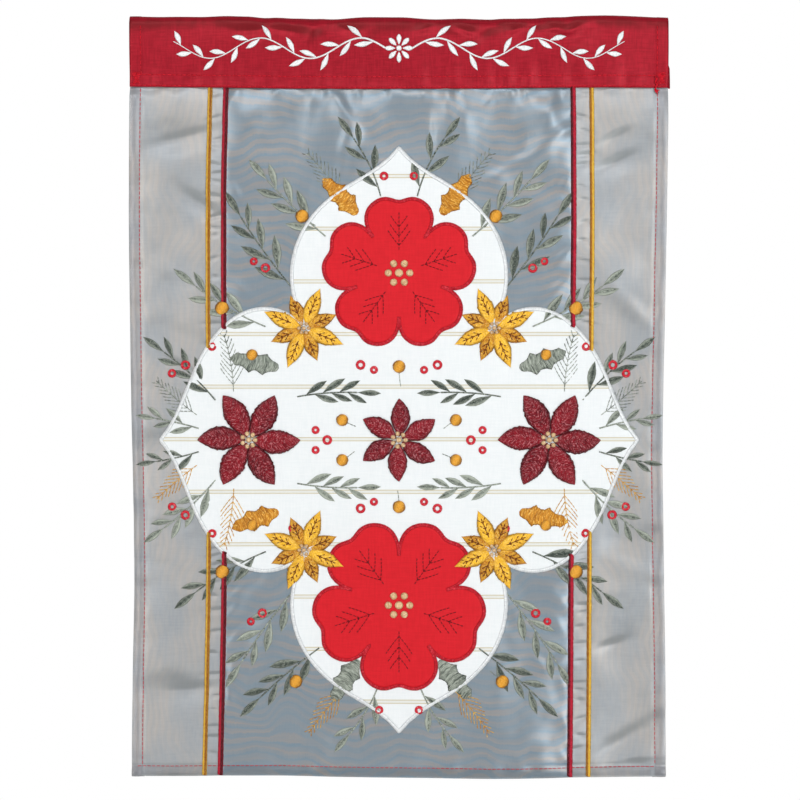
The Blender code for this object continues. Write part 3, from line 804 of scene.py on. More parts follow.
def sleeveRipple(x, z):
    # Waves along the sleeve, gathers that die away above the stitching, dents and crumples near
    # the top edge, and the ends' turned hems.
    size = sleeveCloth
    wave, gather, crumple = size["wave"], size["gather"], size["crumple"]
    total = wave["rise"] * wobble(x, z * 0.7, wave["cell"], 21) * sleeveUp(z) + foldSum(sleeveDents, x, z)
    strength = sum(np.exp(-(((x - middle) / half) ** 4)) for middle, half in size["crumpled"])
    strength = strength * bell((z - crumple["top"]) / crumple["reach"]) * sleeveUp(z)
    total = total + crumple["rise"] * wobble(x + 0.5 * z, z * 1.4, crumple["cell"], 23) * strength
    above = np.abs(z + flag["sleeveDrop"] - 3.4 * mm)
    gathers = gather["rise"] * wobble(x, z * 0.4, gather["cell"], 22) * np.exp(-above / gather["reach"])
    fromEnd = readTable(outline, "rightEdge", 0 * z) - np.abs(x)
    hem = size["hemRise"] * smoothStep(size["endHem"] + 1.2 * mm, size["endHem"], fromEnd)
    return total + gathers + hem


def sleeveShadeMask(x, z):
    # How steeply the ripples lean down, plus painted shade in uneven streaks along the top, where the
    # cloth turns over; it masks the sleeve's painted shade.
    rim = sleeveCloth["rim"]
    rimShadeStreaks = rim["lean"] * (0.85 + 0.30 * wobble(x, z * 0.2, rim["cell"], 24))
    return leanOf(sleeveRipple, x, z) + rimShadeStreaks * smoothStep(*rim["from"], z) * smoothStep(*rim["to"], z)


def beforeSag(x, z):
    # The height at which a place of the sleeve lay before the sags lowered it.
    nominal = z
    for _ in range(3):
        nominal = z + sleeveSag(x, nominal)
    return nominal


def sleeveFront(x, z):
    # The rise of the front wall's outer face: its place in the pocket table, with the dimple and
    # the ripple.
    level = beforeSag(x, z)
    dimple = sleeveCloth["dimple"] * readTable(sags, "top", x) * sleeveUp(level)
    return sleeveCloth["wall"] - readTable(pocket, "front", level) - dimple + sleeveRipple(x, level)


def sleeveBack(x, z):
    # The same for the back wall's outer face, which looks the other way.
    level = beforeSag(x, z)
    return -(sleeveCloth["wall"] + readTable(pocket, "back", level) + sleeveRipple(x, level))


def sleeveSheet():
    # A profile carried along the sleeve: up the front wall, over a half circle and down the back,
    # moved out by the wall's thickness.
    size = sleeveCloth
    low, (high, front, back) = pocket["rows"][0][0], pocket["rows"][-1]
    walls = spacedSteps(low, high, size["rowPitch"])
    behind = spacedSteps(high, low, ((low, 3.0), (high, 3.0)))
    middle, radius = (front + back) / 2, (back - front) / 2
    bend = np.linspace(math.pi, 0, 17)[1:-1]
    over = middle + radius * np.cos(bend)
    y = np.concatenate([readTable(pocket, "front", walls), over, readTable(pocket, "back", behind)])
    z = np.concatenate([walls, high + radius * np.sin(bend), behind])
    outX, outZ = -np.gradient(z), np.gradient(y)
    reach = np.hypot(outX, outZ)
    outX, outZ = outX / reach, outZ / reach
    y, z = y + size["wall"] * outX, z + size["wall"] * outZ
    z[0], z[-1] = low, low
    run = np.concatenate([[0], np.cumsum(np.hypot(np.diff(y), np.diff(z)))])
    left, right = readTable(outline, "leftEdge", 0.0), readTable(outline, "rightEdge", 0.0)
    x = np.linspace(left, right, int((right - left) / size["pitch"]))[:, None]
    dimple = size["dimple"] * readTable(sags, "top", x) * sleeveUp(z) * smoothStep(0.3, -0.3, outX)
    # The lean and the painted rim shade become the shade attribute, the mask of the sleeve's painted
    # shade.
    ripple, lean = sleeveRipple(x, z), sleeveShadeMask(x, z)
    y = y + dimple + ripple * outX
    level = z - sleeveSag(x, z) + ripple * outZ * 0.6
    longer = smoothStep(0.2, 0.6, outX) * smoothStep(-26 * mm, -31 * mm, z)
    x = x + size["tab"] * longer * smoothStep(right - 5 * mm, right, x)
    flat = np.stack([x, run + 0 * y], axis=2)
    patch = (np.stack([x, y, level], axis=2), [gridFaces(*y.shape)], flat, lean)
    piece = clothPiece("sleeve_cloth", "sleeve", "sleeve_satin", patch, size["thickness"])


# The applied pieces
appliedCloth = {"pitch": 2.6 * mm, "thickness": 0.30 * mm}


def appliedSheet(node, shape, slot):
    # Rings about the centre, each a share of the outline, on the cloth below and lifted from it.
    edge = lobedOutline(shape, 44 if shape is medallion else 36)
    rings = int(max(shape["halfWidth"], shape["halfHeight"]) / appliedCloth["pitch"])
    share = np.linspace(0, 1, rings + 1)[1:, None, None]
    centre = np.array([shape["x"], shape["z"]])
    places = np.concatenate([centre[None], (centre + share * (edge - centre)).reshape(-1, 2)])
    x, z = places.T
    lift = shape["lift"] + (0 if shape is medallion else medallion["lift"])
    points = np.stack([x, -panelRise(x, z) - lift, z], axis=1)
    count = len(edge)
    around = np.arange(count)
    after = (around + 1) % count
    fan = np.stack([0 * around, 1 + around, 1 + after], axis=1)
    ring = (np.arange(rings - 1) * count)[:, None] + 1
    quads = np.stack([ring + around, ring + count + around, ring + count + after, ring + after], axis=2)
    patch = (points, [fan, quads.reshape(-1, 4)], places, None)
    piece = clothPiece(node + "_sheet", node, slot, patch, appliedCloth["thickness"])


# Satin stitch and running stitch
stitching = {
    "pitch": 0.8 * mm,  # two grid lines to a stitch, a ridge and the groove beside it
    "ridge": 0.16,
    "sink": 0.15 * mm,  # how far the underside lies in the cloth
    "wall": 0.22 * mm,  # the band's height at its very edge
    # The core is painted shade down a band's middle, or a painted highlight where it is negative.
    "core": 0.50,  # how wide the dark core is, and a groove, as shares of half the band
    "groove": 0.16,
    "uneven": 0.05,  # how much the stitches differ in length and in shade
    "varied": 0.10,
    "narrowest": 0.12 * mm,  # half of the width at a tip
    "tip": 1.6,  # a tip is lower where its width's share is less than 1 / tip
    "ahead": 0.3 * mm,  # how far on and back the path's direction is read
}
reverse = {"every": 4, "heights": (0.05, 0.30, 0.05, -0.15), "standOff": 0.05}  # heights in millimetres
draws = np.random.default_rng(7)


def pathReader(path, closed):
    # Places at a distance along a path of straight stretches.
    path = np.asarray(path, dtype=float)
    if closed:
        path = np.concatenate([path, path[:1]])
    reach = np.concatenate([[0], np.cumsum(np.hypot(*np.diff(path, axis=0).T))])
    total = reach[-1]

    def read(distance):
        distance = distance % total if closed else np.clip(distance, 0, total)
        return np.interp(distance, reach, path[:, 0]), np.interp(distance, reach, path[:, 1])

    return read, total


def satinBand(path, width, height, closed=False, profile=np.ones_like, slant=0.0, chevron=0.0, groove=0.0,
              across=7, shade=0.5, contrast=0.0, rim=0.0, core=0.0, coreAt=0.0, lift=0.0,
              ground=topRise, pitch=stitching["pitch"]):
    # A band of satin stitch carried along a path. Its section is a wall and over it the square
    # root of (1 - v squared), v being the place across from -1 to 1; every other grid line is
    # lower by the ridge, and a groove is a bell curve at v = 0. Profile is the width's share at
    # each place along, slant leans the stitches, and chevron leans each half towards the tip.
    # The shade is painted lighter towards the edges by the rim and darker about coreAt by the core, as
    # painted highlight and painted shade of the rounded band, and the other way round where these are
    # negative.
    size = stitching
    read, total = pathReader(path, closed)
    count = max(2 * int(round(total / pitch)), 6)
    along = np.linspace(0, total, count, endpoint=False) if closed else np.linspace(0, total, count + 1)
    v = np.concatenate([np.linspace(-1, 1, across), [0.6, -0.6]])
    half = width / 2
    place = along[:, None] + half * profile(along / total)[:, None] * (slant * v + chevron * np.abs(v))
    if not closed:
        place = np.clip(np.maximum.accumulate(place, axis=0), 0, total)
    x, z = read(place)
    (nextX, nextZ), (lastX, lastZ) = read(place + size["ahead"]), read(place - size["ahead"])
    runX, runZ = nextX - lastX, nextZ - lastZ
    run = np.maximum(np.hypot(runX, runZ), 1e-9)
    stitch = np.arange(len(along)) // 2
    ragged = 1 + size["uneven"] * draws.uniform(-1, 1, stitch[-1] + 1)[stitch][:, None]
    span = np.maximum(half * profile(place / total) * ragged, size["narrowest"])
    x, z = x - runZ / run * v * span, z + runX / run * v * span
    arch = np.sqrt(np.clip(1 - v**2, 0, 1)) * (1 - groove * bell(v / size["groove"]))
    ridge = 1 - size["ridge"] * (np.arange(len(along)) % 2)[:, None]
    rise = size["wall"] + (height - size["wall"]) * arch * ridge
    rise = rise * np.minimum(span / half * size["tip"], 1.0)
    rise = np.where(np.arange(len(v)) >= across, -size["sink"], rise)
    flat = np.stack([v * span / mm, along[:, None] / pitch + 0 * x], axis=2)
    tone = shade + size["varied"] * draws.uniform(-1, 1, stitch[-1] + 1)[stitch][:, None]
    tone = tone + contrast * np.sign(v) + rim * v**4 - core * bell((v - coreAt) / size["core"])
    return np.stack([x, -ground(x, z) - lift - rise, z], axis=2), bandFaces(*x.shape, closed), flat, tone


def bandFaces(rows, ring, closed):
    # Quads round each row's ring and on to the next row, and a cap at each end of an open band.
    i, j = np.meshgrid(np.arange(rows if closed else rows - 1), np.arange(ring), indexing="ij")
    here, after = i * ring, (i + 1) % rows * ring
    quads = np.stack([here + j, after + j, after + (j + 1) % ring, here + (j + 1) % ring], axis=2)
    cap = np.arange(ring)
    ends = [] if closed else [cap[None], ((rows - 1) * ring + cap)[::-1][None]]
    return [quads.reshape(-1, 4), *ends]


def backPlace(x, z, reach=0.0):
    # Where the cloth's back lies, further out within reach of the centre panel's laps.
    inside = np.minimum(*inward("Seam", x, z))
    lapped = smoothStep(1.5 * mm, 0.2 * mm, inside - reach) * (inside > -panelCloth["lap"] - reach)
    return panelCloth["thickness"] + panelCloth["lapDepth"] * lapped - panelRise(x, z)


def reverseOf(parts):
    # The same bands where they come out on the back of the cloth: every fourth row, as a low ridge
    # of three points across, and a fourth one inside the cloth. Wide rows stand off a little, so
    # that they bridge the laps and puckers.
    backs = []
    for points, faces, flat, tone in parts:
        closed = len(faces) == 1
        rows, ring = tone.shape
        kept = np.arange(0, rows, reverse["every"])
        if not closed:
            kept = np.unique(np.append(kept, rows - 1))
        middle = (ring - 2) // 2
        pick = np.ix_(kept, [0, middle, ring - 3, middle])
        x, z = points[..., 0][pick], points[..., 2][pick]
        acrossX, acrossZ = np.ptp(x, axis=1)[:, None], np.ptp(z, axis=1)[:, None]
        standOff = reverse["standOff"] * np.hypot(acrossX, acrossZ) * np.array([1, 1, 1, 0])
        y = backPlace(x, z, acrossX / 2 + 1 * mm) + standOff + np.array(reverse["heights"]) * mm
        turned = [block[:, ::-1] for block in bandFaces(len(kept), 4, closed)]
        backs.append((np.stack([x, y, z], axis=2), turned, flat[pick], tone[pick]))
    return backs


def runningStitches(paths, length, gap, width, height, lift=0.0, ground=topRise, back=0.0):
    # Each stitch is a small closed bar of four rings of five points, whose ends dip into the cloth.
    # With a back it lies that far behind the ground and faces away from the viewer.
    starts, ends = [], []
    for path in paths:
        read, total = pathReader(path, False)
        first = np.arange(0, total - length * 0.6, length + gap)
        starts.append(np.stack(read(first), axis=1))
        ends.append(np.stack(read(first + length), axis=1))
    start, run = np.concatenate(starts), np.concatenate(ends) - np.concatenate(starts)
    reach = np.hypot(run[:, 0], run[:, 1])
    startX, startZ, runX, runZ, reach = [part[:, None, None] for part in (*start.T, *run.T, reach)]
    share = np.array([0.0, 0.22, 0.78, 1.0])[:, None]
    full = np.array([0.35, 1.0, 1.0, 0.35])[:, None]
    ringV = np.array([-1.0, -0.55, 0.55, 1.0, 0.0])
    ringH = np.array([0.1, 0.9, 0.9, 0.1, -0.4])
    off = ringV * full * width / 2
    x, z = startX + share * runX - runZ / reach * off, startZ + share * runZ + runX / reach * off
    rise = ringH * height * np.where(full < 1, 0.15, 1.0)
    y = back - ground(x, z) + rise if back else -ground(x, z) - lift - rise
    block = (np.arange(len(start)) * 20)[:, None, None]
    i, j = np.arange(3)[:, None] * 5, np.arange(5)
    after = (j + 1) % 5
    quads = np.stack([block + i + j, block + i + 5 + j, block + i + 5 + after, block + i + after], axis=3)
    cap = block[:, 0] + j
    faces = [quads.reshape(-1, 4), cap, (cap + 15)[:, ::-1]]
    if back:
        faces = [part[:, ::-1] for part in faces]
    flat = np.stack([share * reach / mm + 0 * x, ringV + 0 * x], axis=3)
    tone = 0.5 + 0.12 * draws.uniform(-1, 1, len(start))[:, None, None] + 0 * x
    return np.stack([x, y, z], axis=3), faces, flat, tone


def curvedPath(x, z, heading, length, bend=0.0, count=24):
    # A path whose direction turns evenly by bend over its length, both angles in degrees.
    angle = np.radians(heading + bend * (np.arange(count) + 0.5) / count)
    steps = np.stack([np.cos(angle), np.sin(angle)], axis=1) * (length / count)
    return np.array([x, z]) + np.concatenate([[[0, 0]], np.cumsum(steps, axis=0)])


def leafProfile(belly, fullness):
    # Sine to the fullness of pi times the share along, bent so that the widest place is at belly.
    power = math.log(0.5) / math.log(belly)
    return lambda t: np.sin(math.pi * np.clip(t, 0, 1) ** power) ** fullness


def roundProfile(t):
    return np.sqrt(np.clip(1 - (2 * t - 1) ** 2, 0, 1))


def leaf(x, z, heading, length, width, height=0.7 * mm, belly=0.56, fullness=1.0, bend=0.0, **look):
    path = curvedPath(x, z, heading, length, bend)
    return satinBand(path, width, height, profile=leafProfile(belly, fullness), chevron=0.7, groove=0.4,
                     pitch=1.0 * mm, **look)


def dome(x, z, radius, height, heading=0.0, **look):
    away = radius * np.array([np.cos(np.radians(heading)), np.sin(np.radians(heading))])
    middle = np.array([x, z])
    return satinBand([middle - away, middle + away], 2 * radius, height, profile=roundProfile,
                     pitch=0.6 * mm, **look)


def ringBand(x, z, radius, width, height):
    angle = np.linspace(0, 2 * math.pi, 40, endpoint=False)
    path = np.stack([x + radius * np.cos(angle), z + radius * np.sin(angle)], axis=1)
    return satinBand(path, width, height, closed=True, across=6, pitch=1.1 * mm)


def sewPiece(name, parts, thread, bothFaces=False):
    if bothFaces:
        parts = parts + reverseOf(parts)
    meshPiece(name, parts, materials[thread], "stitch")


# Stripes, borders and hems
# The core and coreAt paint shade on each stripe, a dark band on its side towards the centre panel, and the
# left stripes' shade is painted a little darker than the right ones'.
stripes = {
    "red": {"width": 3.3 * mm, "height": 1.2 * mm, "coreAt": {"left": 0.40, "right": -0.60}},
    "gold": {"width": 2.85 * mm, "height": 1.1 * mm, "coreAt": {"left": 0.30, "right": -0.50}},
    "shade": {"left": 0.88, "right": 0.95},
    "look": {"slant": 0.5, "across": 9, "core": 1.2, "pitch": 1.2 * mm},
}
borders = {  # width, height, lean of the stitches and their pitch
    "medallion": {"width": 2.3 * mm, "height": 0.8 * mm, "slant": 0.15, "pitch": 1.1 * mm},
    "rosette": {"width": 2.1 * mm, "height": 0.8 * mm, "pitch": 1.0 * mm},
}
hemStitch = {"length": 2.5 * mm, "gap": 0.3 * mm, "width": 0.55 * mm, "height": 0.30 * mm}


def stripePaths(side, offset):
    # A line beside the seam from inside the sleeve's edge to the foot, left out under the medallion.
    z = np.arange(-flag["sleeveDrop"] + 0.5 * mm, -flag["height"] + 0.2 * mm, -0.5 * mm)
    x = readTable(outline, side + "Seam", z) + offset
    z = z - readTable(sags, "foot", x) * (-z / flag["height"]) ** 8
    shown = outlineDistance(medallion, x, z) > -1.0 * mm
    cuts = np.flatnonzero(np.diff(shown.astype(int))) + 1
    parts = zip(np.split(np.stack([x, z], axis=1), cuts), np.split(shown, cuts))
    return [part for part, seen in parts if seen[0]]


def makeStripes():
    for side in ("left", "right"):
        for name, offset in (("red", 0.0), ("gold", goldOffset[side])):
            look = {**stripes["look"], **stripes[name], "coreAt": stripes[name]["coreAt"][side],
                    "shade": stripes["shade"][side]}
            bands = [satinBand(path, **look) for path in stripePaths(side, offset)]
            sewPiece(f"{name}_stripe_{side}", bands, name + "Stripe", bothFaces=True)


def makeBorders():
    for name, kind, shapes, thread in (
        ("medallion_border", "medallion", [medallion], "white"),
        ("rosette_borders", "rosette", rosettes.values(), "redBorder"),
    ):
        bands = [satinBand(lobedOutline(shape), closed=True, **borders[kind]) for shape in shapes]
        sewPiece(name, bands, thread, bothFaces=True)


def makeHems():
    # The sewn line along both side hems and the foot, and how it turns at the lower corners.
    z = np.arange(-flag["sleeveDrop"] - 0.5 * mm, -flag["height"] + footInset, -2 * mm)
    left = readTable(outline, "leftEdge", z) + hemInset
    right = readTable(outline, "rightEdge", z) - hemInset
    x = np.append(np.arange(left[-1] - 3 * mm, right[-1], 2 * mm), right[-1])
    foot = -flag["height"] + footInset - readTable(sags, "foot", x)
    paths = [np.stack(line, axis=1) for line in ((left, z), (right, z), (x, foot))]
    seen, behind = (runningStitches(paths, **hemStitch, back=back) for back in (0.0, 0.72 * mm))
    sewPiece("hem_stitches", [seen, behind], "hem")


sleeveSeams = {  # millimetres
    "reach": 160.0,
    "rows": (-42.6, -36.3),
    "end": 154.6,
    "endTop": -7.0,
    "tack": {"from": 154.8, "to": 160.2, "low": -41.4, "high": -34.6, "rows": 15},
}
threadTails = (  # the loose ends of the sleeve's seam, in millimetres
    ((153.6, -37.2), (154.4, -38.8), (153.5, -40.4), (154.6, -42.0), (153.8, -43.8), (154.2, -45.6),
     (154.9, -47.6)),
    ((155.0, -38.0), (154.2, -39.6), (155.2, -41.4), (154.3, -43.4), (153.3, -45.0), (153.8, -46.4),
     (155.2, -46.0)),
    ((154.5, -42.8), (153.7, -44.4), (154.7, -45.8), (156.0, -45.2)),
)


def makeSleeveStitches():
    # Two rows along the sleeve, a line up each end hem, and a zigzag tack at each lower corner.
    size, tack = sleeveSeams, sleeveSeams["tack"]
    x = np.linspace(-size["reach"], size["reach"], 80) * mm
    paths = [np.stack([x, row * mm - readTable(sags, "lower", x)], axis=1) for row in size["rows"]]
    up = np.linspace(size["rows"][1], size["endTop"], 20) * mm
    zigzag = np.where(np.arange(tack["rows"]) % 2, tack["from"], tack["to"]) * mm
    tackUp = np.linspace(tack["low"], tack["high"], tack["rows"]) * mm
    tacks = []
    for side in (-1, 1):
        paths.append(np.stack([0 * up + side * size["end"] * mm, up], axis=1))
        tacks.append(np.stack([side * zigzag, tackUp], axis=1))
    look = {**hemStitch, "gap": 0.5 * mm, "width": 0.65 * mm, "ground": sleeveFront}
    behind = {**look, "ground": sleeveBack, "back": 0.05 * mm}
    seams = [runningStitches(paths, **shown) for shown in (look, behind)]
    sewPiece("sleeve_stitches", seams, "sleeve")
    tails = [runningStitches(tacks, **{**look, "gap": 0.1 * mm, "width": 0.6 * mm})]
    for path in threadTails:
        tails.append(satinBand(np.array(path) * mm, 0.75 * mm, 0.7 * mm, across=5, pitch=0.5 * mm,
                               ground=lambda x, z: 1.4 * mm + 0 * x))
    sewPiece("thread_tails", tails, "sleeve")


# The flowers and leaves, mirrored left and right about the middle
wreath = {
    "stars": inMetres("x z radius turn", (  # gold flowers with eight points
        (57, -188, 26, 22.5), (57, -321, 26, 22.5),
    )),
    "blooms": inMetres("x z radius turn", (  # dark red flowers
        (90, -255, 31, 0), (0, -255, 25, 90),
    )),
    "sprigs": inMetres("x z heading length bend pairs leaf tone", (
        (11, -109, 76, 38, -22, 2, 18, "dark"), (44, -133, 40, 48, 8, 3, 19, "light"),
        (63, -165, 50, 54, 8, 3, 20, "dark"), (80, -187, 22, 48, 16, 3, 19, "light"),
        (110, -231, 50, 42, -14, 3, 17.5, "dark"), (120, -248, 17, 26, -8, 2, 14, "light"),
        (120, -262, -17, 26, 8, 2, 14, "dark"), (110, -279, -50, 42, 14, 3, 17.5, "light"),
        (80, -322, -22, 48, -16, 3, 19, "dark"), (63, -345, -50, 54, -8, 3, 20, "light"),
        (48, -380, -36, 46, -8, 3, 19, "dark"), (13, -404, -68, 32, 18, 2, 16.5, "light"),
        (61, -229, 170, 36, 12, 3, 16, "dark"), (61, -281, -170, 36, -12, 3, 16, "light"),
    )),
    "broad": inMetres("x z heading length width tone", (  # toothed leaves
        (25, -120, 50, 30, 15, "gold"), (72, -212, 16, 30, 14.5, "dark"),
        (72, -298, -16, 30, 14.5, "gold"), (24, -387, -54, 30, 15, "dark"),
    )),
    "ferns": inMetres("x z heading length bend tone", (
        (34, -111, 60, 36, -14, "grey"), (99, -226, 88, 36, -16, "grey"),
        (99, -284, -88, 36, 16, "gold"), (33, -405, -46, 34, -10, "gold"),
        (121, -240, 36, 32, 8, "grey"), (121, -270, -36, 32, -8, "gold"),
    )),
    "berries": inMetres("x z radius", (  # red rings
        (128, -210, 2.1), (136, -215, 1.8), (128, -300, 2.1), (136, -295, 1.8), (43, -255, 2.1),
        (50, -261, 1.6), (50, -249, 1.6), (23, -210, 2.1), (15, -213, 1.6), (23, -296, 2.1),
        (15, -292, 1.6), (80, -152, 2.1), (87, -148, 1.6), (82, -359, 2.1), (89, -364, 1.6),
        (9, -97, 1.8), (12, -417, 1.8), (112, -199, 1.8), (112, -311, 1.8), (64, -202, 1.6),
        (64, -308, 1.6),
    )),
    "balls": inMetres("x z radius heading stem", (  # gold balls on short stems
        (58, -121, 4, 40, 10), (106, -176, 4.2, 30, 12), (106, -334, 4.2, -30, 12),
        (62, -400, 4, -45, 10), (34, -243, 3.6, 30, 9), (34, -267, 3.6, -30, 9), (0, -211, 3.8, 90, 12),
        (0, -295, 3.8, -90, 10), (88, -204, 3.4, 60, 10), (88, -306, 3.4, -60, 10),
    )),
}
sprigLeaves = {
    "stem": (0.85 * mm, 0.5 * mm),  # width and height
    "shade": {"dark": 0.25, "light": 0.55},
    "first": 0.14,  # where the first leaf sits and how far the others reach, as shares of the stem
    "span": 0.70,
    "size": (0.92, 1.08),  # from and to which the leaves' sizes, leans and shades are drawn
    "lean": (28, 38),
    "varied": (-0.15, 0.15),
    "narrow": 0.25,  # a leaf's width as a share of its length
    "curl": -0.3,  # its bend as a share of its lean
    "last": 0.9,  # the size of the one at the tip
}
hearts = {  # the knots in a flower: radius, distance from the middle, number and lift
    "star": (1.1 * mm, 2.9 * mm, 6, 0.9 * mm),
    "bloom": (1.4 * mm, 3.9 * mm, 7, 0.9 * mm),
    "rosette": (2.2 * mm, 6.4 * mm, 6, 0.0),
}
veinStitch = {"length": 1.9 * mm, "gap": 0.4 * mm, "width": 0.5 * mm, "height": 0.35 * mm}
fernStitch = {"length": 2.4 * mm, "gap": 0.1 * mm, "width": 0.5 * mm, "height": 0.40 * mm}


def bothSides(kind):
    # Every row as a dictionary, and again mirrored: x and the bend change sign, and headings turn.
    for row in wreath[kind]["rows"]:
        here = dict(zip(wreath[kind]["columns"], row))
        yield here
        if here["x"]:
            mirrors = (("x", 0), ("heading", 180), ("turn", 180), ("bend", 0))
            yield {**here, **{name: whole - here[name] for name, whole in mirrors if name in here}}


def moved(row, heading, distance):
    away = math.radians(heading)
    return row["x"] + distance * math.cos(away), row["z"] + distance * math.sin(away)


def sideLines(x, z, heading, lean, length, bend=0.0, count=24):
    # Two lines from a place, one leaning to either side of the heading.
    return [curvedPath(x, z, heading + lean * side, length, bend * side, count) for side in (-1, 1)]


def stem(row):
    # The path of a sprig or a fern, and a function that gives a place and the heading at a share.
    path = curvedPath(row["x"], row["z"], row["heading"], row["length"], row["bend"])
    read, total = pathReader(path, False)

    def at(share):
        x, z = (float(part) for part in read(share * total))
        return x, z, row["heading"] + row["bend"] * share

    return path, at


def knots(row, radius, around, count, lift):
    parts = [dome(row["x"], row["z"], radius * 1.15, 1.3 * mm, lift=lift, shade=0.6)]
    for angle in np.arange(count) * 360 / count:
        parts.append(dome(*moved(row, angle, around), radius, 1.2 * mm, angle, lift=lift))
    return parts


def sprig(row, leaves):
    # A stem with narrow leaves in alternate pairs, shorter towards its tip, and one at the end.
    path, at = stem(row)
    size = sprigLeaves
    base = size["shade"][row["tone"]]
    # The rim and core paint a highlight along each leaf's edges and shade down its middle.
    look = {"rim": 0.45, "core": 0.30}
    leaves.append(satinBand(path, *size["stem"], across=5, shade=base))
    for k in range(2 * row["pairs"]):
        side = -1 if k % 2 else 1
        share = size["first"] + size["span"] * k / (2 * row["pairs"] - 1)
        x, z, heading = at(share)
        length = row["leaf"] * (1.08 - 0.30 * share) * draws.uniform(*size["size"])
        lean = side * draws.uniform(*size["lean"])
        shade = base + draws.uniform(*size["varied"])
        leaves.append(leaf(x, z, heading + lean, length, length * size["narrow"], shade=shade,
                           bend=lean * size["curl"], contrast=0.14 * side, **look))
    length = row["leaf"] * size["last"]
    heading = row["heading"] + row["bend"]
    leaves.append(leaf(*path[-1], heading, length, length * size["narrow"], shade=base, contrast=0.14,
                       **look))


def broadLeaf(row):
    # A leaf's outline with teeth: hollows, the absolute value of a sine, are cut out of its edge.
    smooth = leafProfile(0.45, 0.6)
    path = curvedPath(row["x"], row["z"], row["heading"], row["length"], 8)
    return satinBand(path, row["width"], 0.8 * mm, across=11, chevron=0.2, groove=0.35, shade=0.4,
                     profile=lambda t: smooth(t) * (1 - 0.34 * np.abs(np.sin(3.4 * math.pi * t))))


def fern(row, lines):
    # A stem with thin strokes in pairs along it.
    path, at = stem(row)
    lines.append(path)
    for share in np.arange(0.12, 0.96, 0.10):
        x, z, heading = at(share)
        reach = row["length"] * 0.30 * (1.15 - share) + 2 * mm
        lines.extend(sideLines(x, z, heading, 40, reach, -12, 8))


starPetals = {  # long light ones over short dark ones, and where side veins leave the middle one
    "long": {"length": 0.93, "width": 0.40, "shade": 0.80, "lift": 0.35 * mm, "veins": (0.34, 0.50, 0.66)},
    "short": {"length": 0.76, "width": 0.44, "shade": 0.30, "lift": 0.15 * mm, "veins": (0.42, 0.60)},
}


def star(row, petals, veins, middles):
    # Eight pointed petals, each with a stitched vein and pairs of side veins.
    for k in range(8):
        kind = starPetals["short" if k % 2 else "long"]
        heading = row["turn"] + 45 * k
        length = row["radius"] * kind["length"]
        petals.append(leaf(*moved(row, heading, 1.5 * mm), heading, length, length * kind["width"],
                           height=0.9 * mm, belly=0.46, fullness=1.1, shade=kind["shade"], contrast=0.08,
                           rim=-0.25, lift=kind["lift"]))
        veins.append(curvedPath(*moved(row, heading, 1.5 * mm + 0.28 * length), heading, 0.54 * length))
        for share in kind["veins"]:
            near = moved(row, heading, 1.5 * mm + share * length)
            veins.extend(sideLines(*near, heading, 38, 0.20 * length))
    middles.extend(knots(row, *hearts["star"]))


def bloom(row, petals, middles):
    # Six pointed petals that curl one way, every other one higher and lighter.
    for k in range(6):
        heading = row["turn"] + 60 * k
        length = row["radius"] - 2 * mm
        petals.append(leaf(*moved(row, heading, 2 * mm), heading - 9, length, length * 0.50, bend=18,
                           height=1.0 * mm, belly=0.50, fullness=0.85, shade=0.4 + 0.2 * (k % 2),
                           contrast=0.06, rim=-0.2, lift=(0.3 + 0.15 * (k % 2)) * mm))
    middles.extend(knots(row, *hearts["bloom"]))


def rosetteStitching(shape, veins, middles):
    # On each petal a vein and three pairs of side veins, and seven large knots in the middle.
    radius = shape["halfWidth"]
    for k in range(shape["lobes"]):
        heading = shape["turn"] + 360 / shape["lobes"] * k
        veins.append(curvedPath(*moved(shape, heading, 0.30 * radius), heading, 0.50 * radius))
        for step in (0.06, 0.18, 0.30):
            near = moved(shape, heading, (0.30 + step) * radius)
            veins.extend(sideLines(*near, heading, 42, (0.27 - 0.3 * step) * radius, -10))
    middles.extend(knots(shape, *hearts["rosette"]))


def makeEmbroidery():
    leaves = {"dark": [], "light": [], "gold": []}
    lines = {"grey": [], "gold": []}
    gold, crimson, rings, middles, brown, darkRed = [], [], [], [], [], []
    for row in bothSides("sprigs"):
        sprig(row, leaves[row["tone"]])
    for row in bothSides("broad"):
        leaves[row["tone"]].append(broadLeaf(row))
    for row in bothSides("ferns"):
        fern(row, lines[row["tone"]])
    for row in bothSides("stars"):
        star(row, gold, brown, middles)
    for row in bothSides("blooms"):
        bloom(row, crimson, middles)
    for row in bothSides("berries"):
        rings.append(ringBand(row["x"], row["z"], row["radius"], 1.7 * mm, 0.9 * mm))
    for row in bothSides("balls"):
        # The negative rim and core paint the dome darker towards its edge and lighter in the middle:
        # painted shade and a painted highlight.
        ball = dome(row["x"], row["z"], row["radius"], 1.6 * mm, 60, shade=0.45, lift=0.1 * mm, rim=-0.6,
                    core=-0.6)
        leaves["gold"].append(ball)
        lines["grey"].append(curvedPath(row["x"], row["z"], row["heading"] + 180, row["stem"], 10, 8))
    for shape in rosettes.values():
        rosetteStitching(shape, darkRed, middles)
    for name, parts, thread in (
        ("dark_leaves", leaves["dark"], "sage"), ("light_leaves", leaves["light"], "sage"),
        ("gold_flowers", gold, "gold"), ("gold_leaves", leaves["gold"], "ochre"),
        ("red_flowers", crimson, "crimson"), ("berries", rings, "berry"), ("knots", middles, "beige"),
    ):
        sewPiece(name, parts, thread, bothFaces=True)
    starVeins = {**veinStitch, "width": 0.65 * mm, "gap": 0.15 * mm, "lift": 1.0 * mm}
    for name, paths, look, thread in (
        ("star_veins", brown, starVeins, "brown"),
        ("rosette_veins", darkRed, veinStitch, "darkRed"),
        ("grey_ferns", lines["grey"], fernStitch, "sage"),
        ("gold_ferns", lines["gold"], fernStitch, "gold"),
    ):
        sewPiece(name, [runningStitches(paths, **look)], thread)


